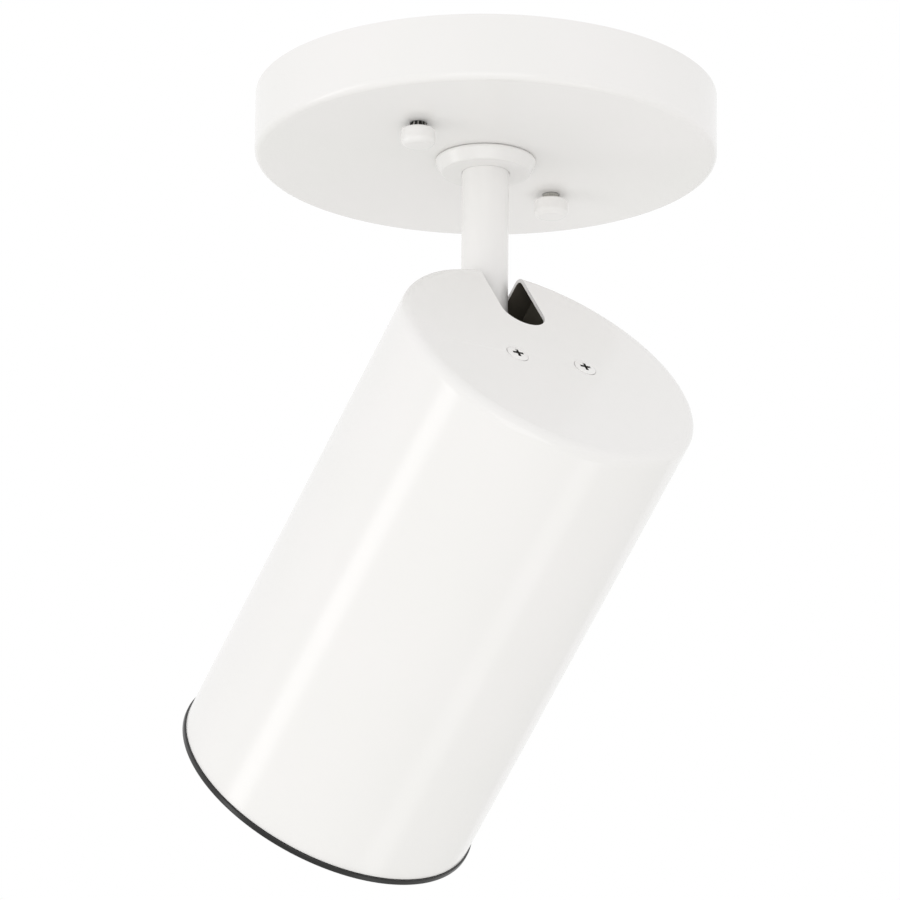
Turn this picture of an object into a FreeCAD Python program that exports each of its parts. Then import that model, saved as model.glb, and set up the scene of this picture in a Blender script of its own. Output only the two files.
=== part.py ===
"""Surface mounted ceiling spotlight: a round canopy, a short stem and a slotted cylinder head.

Units are millimetres. +Z is up and z = 0 is the ceiling. The stem hangs down the Z axis.
The head is drawn hanging straight, with its tilt pivot on the stem's axis, and is then
turned about that pivot to its resting tilt. Depths in the head are measured down from the
outer face of its crown. At rest the open end of the head leans towards +Y.
"""
import FreeCAD
import Part

import math
import os

from FreeCAD import Vector

# ---- Canopy, the dish that covers the outlet box
CANOPY_DIAMETER = 127.0
CANOPY_HEIGHT = 18.2
CANOPY_WALL = 1.0
CANOPY_CORNER = 1.8
STUD_HOLE_DIAMETER = 4.8

# ---- Crossbar on the outlet box, its studs and the nuts that hold the canopy
CROSSBAR_END_MARGIN = 7.55
CROSSBAR_WIDTH = 19.0
CROSSBAR_THICKNESS = 1.6
CROSSBAR_ANGLE = 24.9
CROSSBAR_CENTRE_HOLE = 10.6
CROSSBAR_FLANGE_LENGTH = 46.0
CROSSBAR_FLANGE_DEPTH = 2.4
BOX_SCREW_SPACING = 88.9
BOX_SCREW_HOLE = 4.8
STUD_SPACING = 67.2
STUD_DIAMETER = 4.1
STUD_NUT_FLATS = 8.7
STUD_NUT_HEIGHT = 3.2
STUD_WASHER_DIAMETER = 5.8
STUD_WASHER_THICKNESS = 1.8
CAP_NUT_DIAMETER = 9.3
CAP_NUT_HEIGHT = 4.7
CAP_NUT_ROUND = 1.0
CAP_NUT_TOP_ROUND = 0.5
CAP_NUT_FLOOR = 1.0
GROUND_SCREW_OFFSET = 18.0
GROUND_SCREW_DIAMETER = 4.8
GROUND_HEAD_DIAMETER = 10.0
GROUND_HEAD_RIM = 0.9
GROUND_HEAD_FLATS = 7.9
GROUND_HEAD_HEIGHT = 3.4

# ---- Pan swivel: a threaded nipple clamps the collar and the stem under the canopy
COLLAR_TOP_DIAMETER = 28.8
COLLAR_BOTTOM_DIAMETER = 24.4
COLLAR_HEIGHT = 4.0
COLLAR_TOP_ROUND = 0.8
COLLAR_BOTTOM_ROUND = 0.5
COLLAR_SEAT_DEPTH = 1.6
NIPPLE_BORE = 8.2
NIPPLE_TOP_DEPTH = 8.5
NIPPLE_IN_STEM = 12.0
FRICTION_WASHER_DIAMETER = 22.0
FRICTION_WASHER_THICKNESS = 0.8
STOP_WASHER_DIAMETER = 19.0
STOP_WASHER_THICKNESS = 1.2
STOP_TAB_WIDTH = 2.2
STOP_TAB_PAST_PIN = 0.4
STOP_PIN_DIAMETER = 2.4
STOP_PIN_RADIUS = 14.0
STOP_PIN_HEIGHT = 3.2
SPRING_WASHER_DIAMETER = 18.0
SPRING_WASHER_THICKNESS = 0.7
SPRING_WASHER_RISE = 0.8
LOCKNUT_FLATS = 15.9
LOCKNUT_HEIGHT = 3.2
BUSHING_OVERHANG = 1.0
BUSHING_FLANGE = 1.0
BUSHING_SLEEVE = 5.0
BUSHING_WALL = 0.5
BUSHING_BEVEL = 0.3

# ---- Stem and the knuckle in its lower end
STEM_DIAMETER = 12.9
STEM_WALL = 1.25
PIVOT_DROP = 82.9
STEM_END_ABOVE_PIVOT = 12.0
KNUCKLE_FLAT = 0.45
KNUCKLE_SHOULDER = 8.0
KNUCKLE_SHANK = 10.0
KNUCKLE_WIRE_BORE = 7.0
KNUCKLE_WIRE_FLOOR = 1.0

# ---- Tilt pivot: bracket ears, bolt, friction washers and nut
REST_TILT = 51.1
PIVOT_OFFSET = 23.5
PIVOT_DEPTH = 24.8
PIVOT_BOLT_DIAMETER = 5.0
PIVOT_BOLT_HEAD_DIAMETER = 9.2
PIVOT_BOLT_HEAD_HEIGHT = 2.8
PIVOT_BOLT_HEAD_ROUND = 1.4
PIVOT_BOLT_TIP = 1.2
PIVOT_WASHER_DIAMETER = 11.6
PIVOT_WASHER_THICKNESS = 0.9
PIVOT_SPRING_DIAMETER = 9.6
PIVOT_SPRING_THICKNESS = 0.6
PIVOT_SPRING_RISE = 0.4
PIVOT_NUT_FLATS = 8.0
PIVOT_NUT_HEIGHT = 3.6
PIVOT_NUT_COLLAR = 1.2
PIVOT_NUT_COLLAR_DIAMETER = 7.2
BRACKET_THICKNESS = 1.5
BRACKET_EAR_RADIUS = 8.0
BRACKET_HALF_WIDTH = 17.0
BRACKET_BACK = 8.0
BRACKET_CORNER = 4.0

# ---- Head shell, one deep cup with a slot over the crown and down the back
SHELL_DIAMETER = 86.4
SHELL_LENGTH = 145.0
SHELL_WALL = 1.0
CROWN_ROUND = 3.0

# ---- Crown screws, standoffs and the lamp socket
CROWN_SCREW_SPACING = 21.4
CROWN_SCREW_DIAMETER = 3.4
CROWN_SCREW_HEAD_DIAMETER = 6.4
CROWN_SCREW_HEAD_DEPTH = 1.6
CROWN_SCREW_DOME = 0.3
CROWN_SCREW_FLAT_DIAMETER = 3.5
CROWN_SCREW_BITE = 5.5
CROWN_SCREW_TIP_ROOM = 0.5
CROSS_RECESS_LENGTH = 3.4
CROSS_RECESS_WIDTH = 0.8
CROSS_RECESS_DEPTH = 1.1
STANDOFF_DIAMETER = 7.0
STANDOFF_LENGTH = 16.5
SOCKET_BASE_DIAMETER = 30.0
SOCKET_BASE_HEIGHT = 15.5
SOCKET_FLARE = 1.5
SOCKET_DIAMETER = 38.0
SOCKET_HEIGHT = 35.0
SOCKET_FLOOR = 7.0
SOCKET_BEVEL = 1.0
SCREW_SHELL_WALL = 0.45
SCREW_SHELL_INSET = 2.0
CONTACT_DIAMETER = 9.0
CONTACT_THICKNESS = 0.7

# ---- Reflector lamp
LAMP_LENGTH = 98.4
LAMP_DIAMETER = 63.5
LAMP_GLASS = 1.0
LAMP_CAP_DIAMETER = 26.4
LAMP_CAP_WALL = 0.4
LAMP_CAP_LENGTH = 25.5
LAMP_CAP_BEVEL = 0.8
LAMP_TIP_DIAMETER = 9.4
LAMP_TIP_HEIGHT = 1.0
LAMP_TIP_BEVEL = 0.7
LAMP_INSULATOR_HEIGHT = 2.6
LAMP_INSULATOR_DIAMETER = 20.0
LAMP_NECK_DIAMETER = 25.4
LAMP_NECK_IN_CAP = 4.0
LAMP_NECK_LENGTH = 6.0
LAMP_DOME_RISE = 11.0
LAMP_BAND = 5.0
LAMP_FLARE_FULLNESS = 0.42
LAMP_FACE_INSET = 1.9
LAMP_FACE_DOME = 7.9
LAMP_GAP_TO_CONTACT = 0.3

# ---- Black stepped baffle with its lip round the mouth
LIP_OVERHANG = 0.55
LIP_THICKNESS = 1.7
LIP_ROUND = 0.5
LIP_SHOULDER_ROUND = 0.25
MOUTH_INSET = 3.4
BAFFLE_SPIGOT = 7.0
BAFFLE_SPIGOT_LEAD = 0.45
BAFFLE_STEPS = 8
BAFFLE_PITCH = 3.5
BAFFLE_GAP_TO_LAMP = 3.09
BAFFLE_GROOVE = 1.1
BAFFLE_WALL = 0.9

# ---- Clearances
THREAD_CLEARANCE = 0.05
RUNNING_CLEARANCE = 0.05
SLIDE_CLEARANCE = 0.1
SLOT_CLEARANCE = 0.25
SCREW_HOLE_CLEARANCE = 0.15
PAN_BEARING_CLEARANCE = 0.1
CAP_TO_SHELL_CLEARANCE = 0.25

# ---- How the pieces are cut
OVERRUN = 1.0
LEAST_ROUND = 0.1
NUT_CORNER_SLOPE = 30.0

# ---- Levels and radii that several pieces share
CANOPY_UNDERSIDE = -CANOPY_HEIGHT
CANOPY_FLOOR = CANOPY_UNDERSIDE + CANOPY_WALL
CROSSBAR_LENGTH = BOX_SCREW_SPACING + 2 * CROSSBAR_END_MARGIN
CROSSBAR_UNDERSIDE = -CROSSBAR_THICKNESS
CAP_NUT_TOP = CANOPY_UNDERSIDE - STUD_WASHER_THICKNESS
COLLAR_TOP = CANOPY_UNDERSIDE - RUNNING_CLEARANCE
COLLAR_UNDERSIDE = COLLAR_TOP - COLLAR_HEIGHT
STEM_TOP = COLLAR_UNDERSIDE + COLLAR_SEAT_DEPTH
STEM_RADIUS = STEM_DIAMETER / 2
STEM_BORE_RADIUS = STEM_RADIUS - STEM_WALL
NIPPLE_RADIUS = STEM_BORE_RADIUS - THREAD_CLEARANCE
NIPPLE_HOLE_RADIUS = NIPPLE_RADIUS + THREAD_CLEARANCE
FRICTION_WASHER_TOP = CANOPY_FLOOR + FRICTION_WASHER_THICKNESS
STOP_WASHER_LOW = FRICTION_WASHER_TOP + RUNNING_CLEARANCE
STOP_WASHER_TOP = STOP_WASHER_LOW + STOP_WASHER_THICKNESS
SPRING_WASHER_TOP = STOP_WASHER_TOP + SPRING_WASHER_THICKNESS + SPRING_WASHER_RISE
PIVOT_LEVEL = -PIVOT_DROP
STEM_END = PIVOT_LEVEL + STEM_END_ABOVE_PIVOT
HEAD_AXIS_Y = -PIVOT_OFFSET
CROWN_LEVEL = PIVOT_LEVEL + PIVOT_DEPTH
SHELL_RADIUS = SHELL_DIAMETER / 2
SHELL_BORE_RADIUS = SHELL_RADIUS - SHELL_WALL
SLOT_HALF_WIDTH = STEM_RADIUS + SLOT_CLEARANCE
KNUCKLE_HALF_WIDTH = STEM_RADIUS - KNUCKLE_FLAT
EAR_INNER = KNUCKLE_HALF_WIDTH + RUNNING_CLEARANCE + PIVOT_WASHER_THICKNESS
EAR_OUTER = EAR_INNER + BRACKET_THICKNESS
PIVOT_HOLE_RADIUS = PIVOT_BOLT_DIAMETER / 2 + RUNNING_CLEARANCE
BRACKET_UNDER = SHELL_WALL + BRACKET_THICKNESS
SOCKET_TOP = BRACKET_UNDER + STANDOFF_LENGTH
SOCKET_FLOOR_DEPTH = SOCKET_TOP + SOCKET_FLOOR
LAMP_TIP = SOCKET_FLOOR_DEPTH + CONTACT_THICKNESS + LAMP_GAP_TO_CONTACT
SCREW_SHELL_RADIUS = LAMP_CAP_DIAMETER / 2 + CAP_TO_SHELL_CLEARANCE + SCREW_SHELL_WALL
SCREW_SHELL_SEAT_RADIUS = SCREW_SHELL_RADIUS + THREAD_CLEARANCE
BACK_DIRECTION = Vector(0, 1, 0)
UP = Vector(0, 0, 1)


# ---- Drawing helpers
def corner_edge(before, corner, after, radius, bevel):
    """Where a corner's arc or bevel starts and ends, with its edge, or no edge if it is sharp."""
    if not radius and not bevel:
        return corner, corner, None
    back = (before - corner).normalize()
    ahead = (after - corner).normalize()
    half_angle = back.getAngle(ahead) / 2
    reach = bevel or radius / math.tan(half_angle)
    start, end = corner + back * reach, corner + ahead * reach
    if bevel:
        return start, end, Part.LineSegment(start, end).toShape()
    middle = corner + (back + ahead).normalize() * (radius / math.sin(half_angle) - radius)
    return start, end, Part.Arc(start, middle, end).toShape()


def outline(points, rounds, bevels):
    """A face in the XZ plane through (radius, height) points. The keys of rounds and bevels are
    the indices of the points whose corners are rounded or bevelled."""
    corners = [Vector(radius, 0, height) for radius, height in points]
    cut = []
    for index, corner in enumerate(corners):
        before, after = corners[index - 1], corners[(index + 1) % len(corners)]
        cut.append(corner_edge(before, corner, after, rounds.get(index), bevels.get(index)))
    edges = []
    for index, (_, end, edge) in enumerate(cut):
        if edge:
            edges.append(edge)
        following = cut[(index + 1) % len(cut)][0]
        if end.distanceToPoint(following) > 1e-6:
            edges.append(Part.LineSegment(end, following).toShape())
    return Part.Face(Part.Wire(edges))


def turned(face, centre=(0, 0)):
    """A solid of revolution about the vertical line through centre. Its seam faces the back,
    where the head has its slot."""
    solid = face.revolve(Vector(0, 0, 0), UP, 360)
    solid.rotate(Vector(0, 0, 0), UP, 90)
    solid.translate(Vector(centre[0], centre[1], 0))
    return solid


def lathe(points, rounds=None, bevels=None, centre=(0, 0)):
    """A solid turned from (radius, height) points."""
    return turned(outline(points, rounds or {}, bevels or {}), centre)


def disc(radius, low, high, centre=(0, 0)):
    """An upright cylinder between two heights."""
    return Part.makeCylinder(radius, high - low, Vector(centre[0], centre[1], low), UP)


def ring(outer, inner, low, high, centre=(0, 0)):
    """An upright washer or tube."""
    return disc(outer, low, high, centre).cut(disc(inner, low - OVERRUN, high + OVERRUN, centre))


def block(x_low, x_high, y_low, y_high, z_low, z_high):
    """A box given by its limits."""
    return Part.makeBox(x_high - x_low, y_high - y_low, z_high - z_low, Vector(x_low, y_low, z_low))


def hexagon(flats, low, high, centre=(0, 0)):
    """An upright hexagonal prism, measured across its flats, with its corners turned down."""
    corner = flats / math.sqrt(3)
    steps = [math.radians(60 * side) for side in range(7)]
    points = [Vector(corner * math.cos(a), corner * math.sin(a), low) for a in steps]
    prism = Part.Face(Part.makePolygon(points)).extrude(Vector(0, 0, high - low))
    drop = (corner - flats / 2) * math.tan(math.radians(NUT_CORNER_SLOPE))
    envelope = lathe([(0, low), (flats / 2, low), (corner, low + drop), (corner, high - drop),
                      (flats / 2, high), (0, high)])
    solid = prism.common(envelope)
    solid.translate(Vector(centre[0], centre[1], 0))
    return solid


def cone_washer(outer, inner, low, thickness, rise, centre=(0, 0)):
    """A conical spring washer whose inner edge stands above its outer edge."""
    points = [(inner, low + rise), (outer, low), (outer, low + thickness),
              (inner, low + rise + thickness)]
    return lathe(points, centre=centre)


def group(solids):
    """Several separate solids that share one node."""
    return Part.makeCompound(solids)


def bar_positions(spacing):
    """The two points on the crossbar's line that are spacing apart."""
    angle = math.radians(CROSSBAR_ANGLE)
    return [(side * spacing / 2 * math.cos(angle), side * spacing / 2 * math.sin(angle))
            for side in (-1, 1)]


def on_bar(shape):
    """Turns a shape that was drawn along +X to lie along the crossbar."""
    shape.rotate(Vector(0, 0, 0), UP, CROSSBAR_ANGLE)
    return shape


def across(shape):
    """Turns a shape that was drawn about Z to lie along +X through the tilt pivot."""
    shape.rotate(Vector(0, 0, 0), Vector(0, 1, 0), 90)
    shape.translate(Vector(0, 0, PIVOT_LEVEL))
    return shape


def mirrored(shape):
    """The same piece on the other side of the head."""
    return shape.mirror(Vector(0, 0, 0), Vector(1, 0, 0))


def head_level(depth):
    """The height of a depth in the hanging head."""
    return CROWN_LEVEL - depth


def head_lathe(points, rounds=None, bevels=None, x=0.0):
    """A solid turned about the head's axis, or a line x beside it, from (radius, depth) points."""
    return lathe([(radius, head_level(depth)) for radius, depth in points], rounds, bevels,
                 (x, HEAD_AXIS_Y))


def head_disc(radius, depth_low, depth_high, x=0.0):
    """An upright cylinder in the head between two depths."""
    return disc(radius, head_level(depth_high), head_level(depth_low), (x, HEAD_AXIS_Y))


# ---- Canopy and what is fixed to the ceiling
def canopy_dish():
    """Drawn steel dish, open to the ceiling."""
    outer = CANOPY_DIAMETER / 2
    inner = outer - CANOPY_WALL
    inside_corner = max(CANOPY_CORNER - CANOPY_WALL, LEAST_ROUND)
    dish = lathe([(0, CANOPY_UNDERSIDE), (outer, CANOPY_UNDERSIDE), (outer, 0), (inner, 0),
                  (inner, CANOPY_FLOOR), (0, CANOPY_FLOOR)],
                 {1: CANOPY_CORNER, 4: inside_corner})
    below, above = CANOPY_UNDERSIDE - OVERRUN, CANOPY_FLOOR + OVERRUN
    dish = dish.cut(disc(NIPPLE_RADIUS + PAN_BEARING_CLEARANCE, below, above))
    for place in bar_positions(STUD_SPACING):
        dish = dish.cut(disc(STUD_HOLE_DIAMETER / 2, below, above, place))
    return dish


def crossbar():
    """Strap that screws to the outlet box, with round ends and turned down edges."""
    half_width = CROSSBAR_WIDTH / 2
    straight = CROSSBAR_LENGTH / 2 - half_width
    strap = block(-straight, straight, -half_width, half_width, CROSSBAR_UNDERSIDE, 0)
    for side in (-1, 1):
        strap = strap.fuse(disc(half_width, CROSSBAR_UNDERSIDE, 0,
                                (side * straight, 0)))
    flange_low = CROSSBAR_UNDERSIDE - CROSSBAR_FLANGE_DEPTH
    half_flange = CROSSBAR_FLANGE_LENGTH / 2
    for side in (-1, 1):
        edge = side * (half_width - CROSSBAR_THICKNESS / 2)
        strap = strap.fuse(block(-half_flange, half_flange, edge - CROSSBAR_THICKNESS / 2,
                                 edge + CROSSBAR_THICKNESS / 2, flange_low, 0))
    strap = strap.removeSplitter()
    holes = [(CROSSBAR_CENTRE_HOLE / 2, 0),
             (GROUND_SCREW_DIAMETER / 2 + THREAD_CLEARANCE, GROUND_SCREW_OFFSET)]
    for side in (-1, 1):
        holes.append((STUD_DIAMETER / 2 + THREAD_CLEARANCE, side * STUD_SPACING / 2))
        holes.append((BOX_SCREW_HOLE / 2, side * BOX_SCREW_SPACING / 2))
    for radius, along in holes:
        strap = strap.cut(disc(radius, CROSSBAR_UNDERSIDE - OVERRUN, OVERRUN, (along, 0)))
    return on_bar(strap)


def crossbar_studs():
    """Threaded studs that hang from the crossbar into the cap nuts."""
    low = CAP_NUT_TOP - CAP_NUT_HEIGHT + CAP_NUT_FLOOR + THREAD_CLEARANCE
    return group([disc(STUD_DIAMETER / 2, low, 0, place)
                  for place in bar_positions(STUD_SPACING)])


def stud_locknuts():
    """Hexagon nuts that lock the studs under the crossbar."""
    nuts = []
    for place in bar_positions(STUD_SPACING):
        low = CROSSBAR_UNDERSIDE - STUD_NUT_HEIGHT
        nut = hexagon(STUD_NUT_FLATS, low, CROSSBAR_UNDERSIDE, place)
        bore = disc(STUD_DIAMETER / 2 + THREAD_CLEARANCE, low - OVERRUN, OVERRUN, place)
        nuts.append(nut.cut(bore))
    return group(nuts)


def stud_washers():
    """Dark fibre washers between the canopy and the cap nuts."""
    return group([ring(STUD_WASHER_DIAMETER / 2, STUD_DIAMETER / 2 + THREAD_CLEARANCE,
                       CAP_NUT_TOP, CANOPY_UNDERSIDE, place)
                  for place in bar_positions(STUD_SPACING)])


def cap_nuts():
    """Round blind nuts, turned by finger, that hold the canopy up."""
    radius, bore = CAP_NUT_DIAMETER / 2, STUD_DIAMETER / 2 + THREAD_CLEARANCE
    low = CAP_NUT_TOP - CAP_NUT_HEIGHT
    points = [(0, low), (radius, low), (radius, CAP_NUT_TOP), (bore, CAP_NUT_TOP),
              (bore, low + CAP_NUT_FLOOR), (0, low + CAP_NUT_FLOOR)]
    rounds = {1: CAP_NUT_ROUND, 2: CAP_NUT_TOP_ROUND}
    return group([lathe(points, rounds, centre=place) for place in bar_positions(STUD_SPACING)])


def ground_screw():
    """Hexagon head screw with a rim, for the earth wire."""
    place = (GROUND_SCREW_OFFSET, 0)
    rim_low = CROSSBAR_UNDERSIDE - GROUND_HEAD_RIM
    head_low = CROSSBAR_UNDERSIDE - GROUND_HEAD_HEIGHT
    screw = disc(GROUND_SCREW_DIAMETER / 2, CROSSBAR_UNDERSIDE, 0, place)
    screw = screw.fuse(disc(GROUND_HEAD_DIAMETER / 2, rim_low, CROSSBAR_UNDERSIDE, place))
    screw = screw.fuse(hexagon(GROUND_HEAD_FLATS, head_low, rim_low, place))
    return on_bar(screw)


def pan_friction_washer():
    """Fibre washer on the canopy floor that the stop washer turns on."""
    return ring(FRICTION_WASHER_DIAMETER / 2, NIPPLE_RADIUS + PAN_BEARING_CLEARANCE,
                CANOPY_FLOOR, FRICTION_WASHER_TOP)


def pan_stop_pin():
    """Pin on the canopy floor that the stop washer's tab meets at each end of the pan."""
    return disc(STOP_PIN_DIAMETER / 2, CANOPY_FLOOR, CANOPY_FLOOR + STOP_PIN_HEIGHT,
                (0, -STOP_PIN_RADIUS))


# ---- Stem and what turns with it
def stem_collar():
    """Tapered collar under the canopy that seats the stem's top end."""
    top, bottom = COLLAR_TOP_DIAMETER / 2, COLLAR_BOTTOM_DIAMETER / 2
    seat = STEM_RADIUS + THREAD_CLEARANCE
    points = [(NIPPLE_HOLE_RADIUS, COLLAR_TOP), (NIPPLE_HOLE_RADIUS, STEM_TOP),
              (seat, STEM_TOP), (seat, COLLAR_UNDERSIDE), (bottom, COLLAR_UNDERSIDE),
              (top, COLLAR_TOP)]
    return lathe(points, {4: COLLAR_BOTTOM_ROUND, 5: COLLAR_TOP_ROUND})


def stem_tube():
    """The visible stem."""
    return ring(STEM_RADIUS, STEM_BORE_RADIUS, STEM_END, STEM_TOP)


def stem_nipple():
    """Hollow threaded nipple through the canopy, the collar and the top of the stem."""
    return ring(NIPPLE_RADIUS, NIPPLE_BORE / 2, STEM_TOP - NIPPLE_IN_STEM, -NIPPLE_TOP_DEPTH)


def pan_stop_washer():
    """Steel washer whose tab limits the pan."""
    washer = disc(STOP_WASHER_DIAMETER / 2, STOP_WASHER_LOW, STOP_WASHER_TOP)
    half_tab = STOP_TAB_WIDTH / 2
    reach = STOP_PIN_RADIUS + STOP_PIN_DIAMETER / 2 + STOP_TAB_PAST_PIN
    washer = washer.fuse(block(-half_tab, half_tab, 0, reach, STOP_WASHER_LOW,
                               STOP_WASHER_TOP)).removeSplitter()
    return washer.cut(disc(NIPPLE_HOLE_RADIUS, STOP_WASHER_LOW - OVERRUN,
                           STOP_WASHER_TOP + OVERRUN))


def pan_spring_washer():
    """Conical washer that keeps the pan stiff."""
    return cone_washer(SPRING_WASHER_DIAMETER / 2, NIPPLE_HOLE_RADIUS, STOP_WASHER_TOP,
                       SPRING_WASHER_THICKNESS, SPRING_WASHER_RISE)


def nipple_locknut():
    """Thin hexagon nut that clamps the swivel together."""
    low, high = SPRING_WASHER_TOP, SPRING_WASHER_TOP + LOCKNUT_HEIGHT
    bore = disc(NIPPLE_HOLE_RADIUS, low - OVERRUN, high + OVERRUN)
    return hexagon(LOCKNUT_FLATS, low, high).cut(bore)


def wire_bushing():
    """Plastic bushing that guards the leads at the nipple's mouth."""
    low = -NIPPLE_TOP_DEPTH
    top = low + BUSHING_FLANGE
    sleeve = NIPPLE_BORE / 2 - THREAD_CLEARANCE
    bore = sleeve - BUSHING_WALL
    flange = NIPPLE_RADIUS + BUSHING_OVERHANG
    points = [(bore, top), (bore, low - BUSHING_SLEEVE), (sleeve, low - BUSHING_SLEEVE),
              (sleeve, low), (flange, low), (flange, top)]
    return lathe(points, bevels={0: BUSHING_BEVEL, 5: BUSHING_BEVEL})


def swivel_knuckle():
    """Cast knuckle: a shank in the stem, a flat-sided eye on the pivot and a wire way."""
    half_width = KNUCKLE_HALF_WIDTH
    shoulder = PIVOT_LEVEL + KNUCKLE_SHOULDER
    eye = across(disc(STEM_RADIUS, -half_width, half_width))
    cheek = block(-half_width, half_width, -STEM_RADIUS, STEM_RADIUS, PIVOT_LEVEL, shoulder)
    neck = disc(STEM_RADIUS, shoulder, STEM_END)
    shank = disc(STEM_BORE_RADIUS - THREAD_CLEARANCE, STEM_END, STEM_END + KNUCKLE_SHANK)
    body = eye.fuse([cheek, neck, shank]).removeSplitter()
    wire_radius = KNUCKLE_WIRE_BORE / 2
    turn = PIVOT_LEVEL + PIVOT_HOLE_RADIUS + KNUCKLE_WIRE_FLOOR + wire_radius
    body = body.cut(disc(wire_radius, turn, STEM_END + KNUCKLE_SHANK + OVERRUN))
    side_way = Part.makeCylinder(wire_radius, STEM_RADIUS + OVERRUN, Vector(0, 0, turn),
                                 BACK_DIRECTION * -1)
    body = body.cut(side_way)
    return body.cut(across(disc(PIVOT_HOLE_RADIUS, -half_width - OVERRUN,
                                half_width + OVERRUN)))


# ---- Head
def slot_cutter(margin=0.0):
    """The space that the stem sweeps: over the crown from the pivot to the back, then down
    the wall to the pivot's depth."""
    half = SLOT_HALF_WIDTH + margin
    past = SHELL_RADIUS - PIVOT_OFFSET + OVERRUN
    above, below = CROWN_LEVEL + OVERRUN, head_level(BRACKET_UNDER + OVERRUN)
    wall_inner = math.sqrt(SHELL_BORE_RADIUS ** 2 - half ** 2) - PIVOT_OFFSET - OVERRUN
    crown_cut = disc(half, below, above).fuse(block(-half, half, 0, past, below, above))
    wall_cut = block(-half, half, wall_inner, past, PIVOT_LEVEL, above)
    foot = Part.makeCylinder(half, past - wall_inner, Vector(0, wall_inner, PIVOT_LEVEL),
                             BACK_DIRECTION)
    return crown_cut.fuse([wall_cut, foot]).removeSplitter()


def head_shell():
    """Deep cup with a rounded crown, the stem's slot and two countersunk holes."""
    inside_round = max(CROWN_ROUND - SHELL_WALL, LEAST_ROUND)
    cup = head_lathe([(0, 0), (SHELL_RADIUS, 0), (SHELL_RADIUS, SHELL_LENGTH),
                      (SHELL_BORE_RADIUS, SHELL_LENGTH), (SHELL_BORE_RADIUS, SHELL_WALL),
                      (0, SHELL_WALL)], {1: CROWN_ROUND, 4: inside_round})
    cup = cup.cut(slot_cutter())
    for hole in crown_screw_holes():
        cup = cup.cut(hole)
    return cup


def crown_screw_places():
    """The two crown screws' distances from the head's axis, across the slot."""
    return [side * CROWN_SCREW_SPACING / 2 for side in (-1, 1)]


def crown_screw_holes():
    """Countersunk clearance holes through the crown and the bracket."""
    hole = CROWN_SCREW_DIAMETER / 2 + SCREW_HOLE_CLEARANCE
    sink = CROWN_SCREW_HEAD_DIAMETER / 2 + SCREW_HOLE_CLEARANCE
    past = BRACKET_UNDER + OVERRUN
    points = [(0, -OVERRUN), (sink, -OVERRUN), (sink, 0), (hole, CROWN_SCREW_HEAD_DEPTH),
              (hole, past), (0, past)]
    return [head_lathe(points, x=x) for x in crown_screw_places()]


def cross_recess(x):
    """The crossed slots of a crown screw's driver recess."""
    half_length, half_width = CROSS_RECESS_LENGTH / 2, CROSS_RECESS_WIDTH / 2
    low, high = head_level(CROSS_RECESS_DEPTH), head_level(-OVERRUN)
    arms = block(-half_length, half_length, -half_width, half_width, low, high).fuse(
        block(-half_width, half_width, -half_length, half_length, low, high))
    arms.translate(Vector(x, HEAD_AXIS_Y, 0))
    return arms


def crown_screws():
    """Countersunk machine screws with a cross recess, through crown, bracket and standoffs."""
    head, shank = CROWN_SCREW_HEAD_DIAMETER / 2, CROWN_SCREW_DIAMETER / 2
    tip = SOCKET_TOP + CROWN_SCREW_BITE
    points = [(0, tip), (shank, tip), (shank, CROWN_SCREW_HEAD_DEPTH), (head, 0),
              (CROWN_SCREW_FLAT_DIAMETER / 2, -CROWN_SCREW_DOME), (0, -CROWN_SCREW_DOME)]
    return group([head_lathe(points, x=x).cut(cross_recess(x)) for x in crown_screw_places()])


def pivot_bracket():
    """Plate under the crown with two ears that carry the pivot bolt."""
    plate_top, plate_low = head_level(SHELL_WALL), head_level(BRACKET_UNDER)
    front = BRACKET_EAR_RADIUS
    back = HEAD_AXIS_Y - BRACKET_BACK
    bracket = block(-BRACKET_HALF_WIDTH, BRACKET_HALF_WIDTH, back, front, plate_low, plate_top)
    uprights = [edge for edge in bracket.Edges
                if abs(edge.Vertexes[0].Z - edge.Vertexes[1].Z) > BRACKET_THICKNESS / 2]
    bracket = bracket.makeFillet(BRACKET_CORNER, uprights)
    for side in (-1, 1):
        low_x, high_x = sorted((side * EAR_INNER, side * EAR_OUTER))
        ear = block(low_x, high_x, -BRACKET_EAR_RADIUS, BRACKET_EAR_RADIUS, PIVOT_LEVEL,
                    plate_top)
        boss = across(disc(BRACKET_EAR_RADIUS, low_x, high_x))
        bracket = bracket.fuse([ear, boss])
    bracket = bracket.removeSplitter()
    bracket = bracket.cut(slot_cutter(SLOT_CLEARANCE))
    hole = across(disc(PIVOT_HOLE_RADIUS, -EAR_OUTER - OVERRUN, EAR_OUTER + OVERRUN))
    for cutter in crown_screw_holes() + [hole]:
        bracket = bracket.cut(cutter)
    return bracket


def pivot_bolt():
    """Round head bolt through both ears and the knuckle."""
    tip = (EAR_OUTER + PIVOT_SPRING_THICKNESS + PIVOT_SPRING_RISE + PIVOT_NUT_HEIGHT
           + PIVOT_NUT_COLLAR + PIVOT_BOLT_TIP)
    head, shank = PIVOT_BOLT_HEAD_DIAMETER / 2, PIVOT_BOLT_DIAMETER / 2
    top = -EAR_OUTER - PIVOT_BOLT_HEAD_HEIGHT
    points = [(0, top), (head, top), (head, -EAR_OUTER), (shank, -EAR_OUTER), (shank, tip),
              (0, tip)]
    return across(lathe(points, {1: PIVOT_BOLT_HEAD_ROUND}))


def pivot_friction_washers():
    """Fibre washers between the knuckle and the ears."""
    low = KNUCKLE_HALF_WIDTH + RUNNING_CLEARANCE
    washer = across(ring(PIVOT_WASHER_DIAMETER / 2, PIVOT_HOLE_RADIUS, low,
                         low + PIVOT_WASHER_THICKNESS))
    return group([washer, mirrored(washer)])


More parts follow.
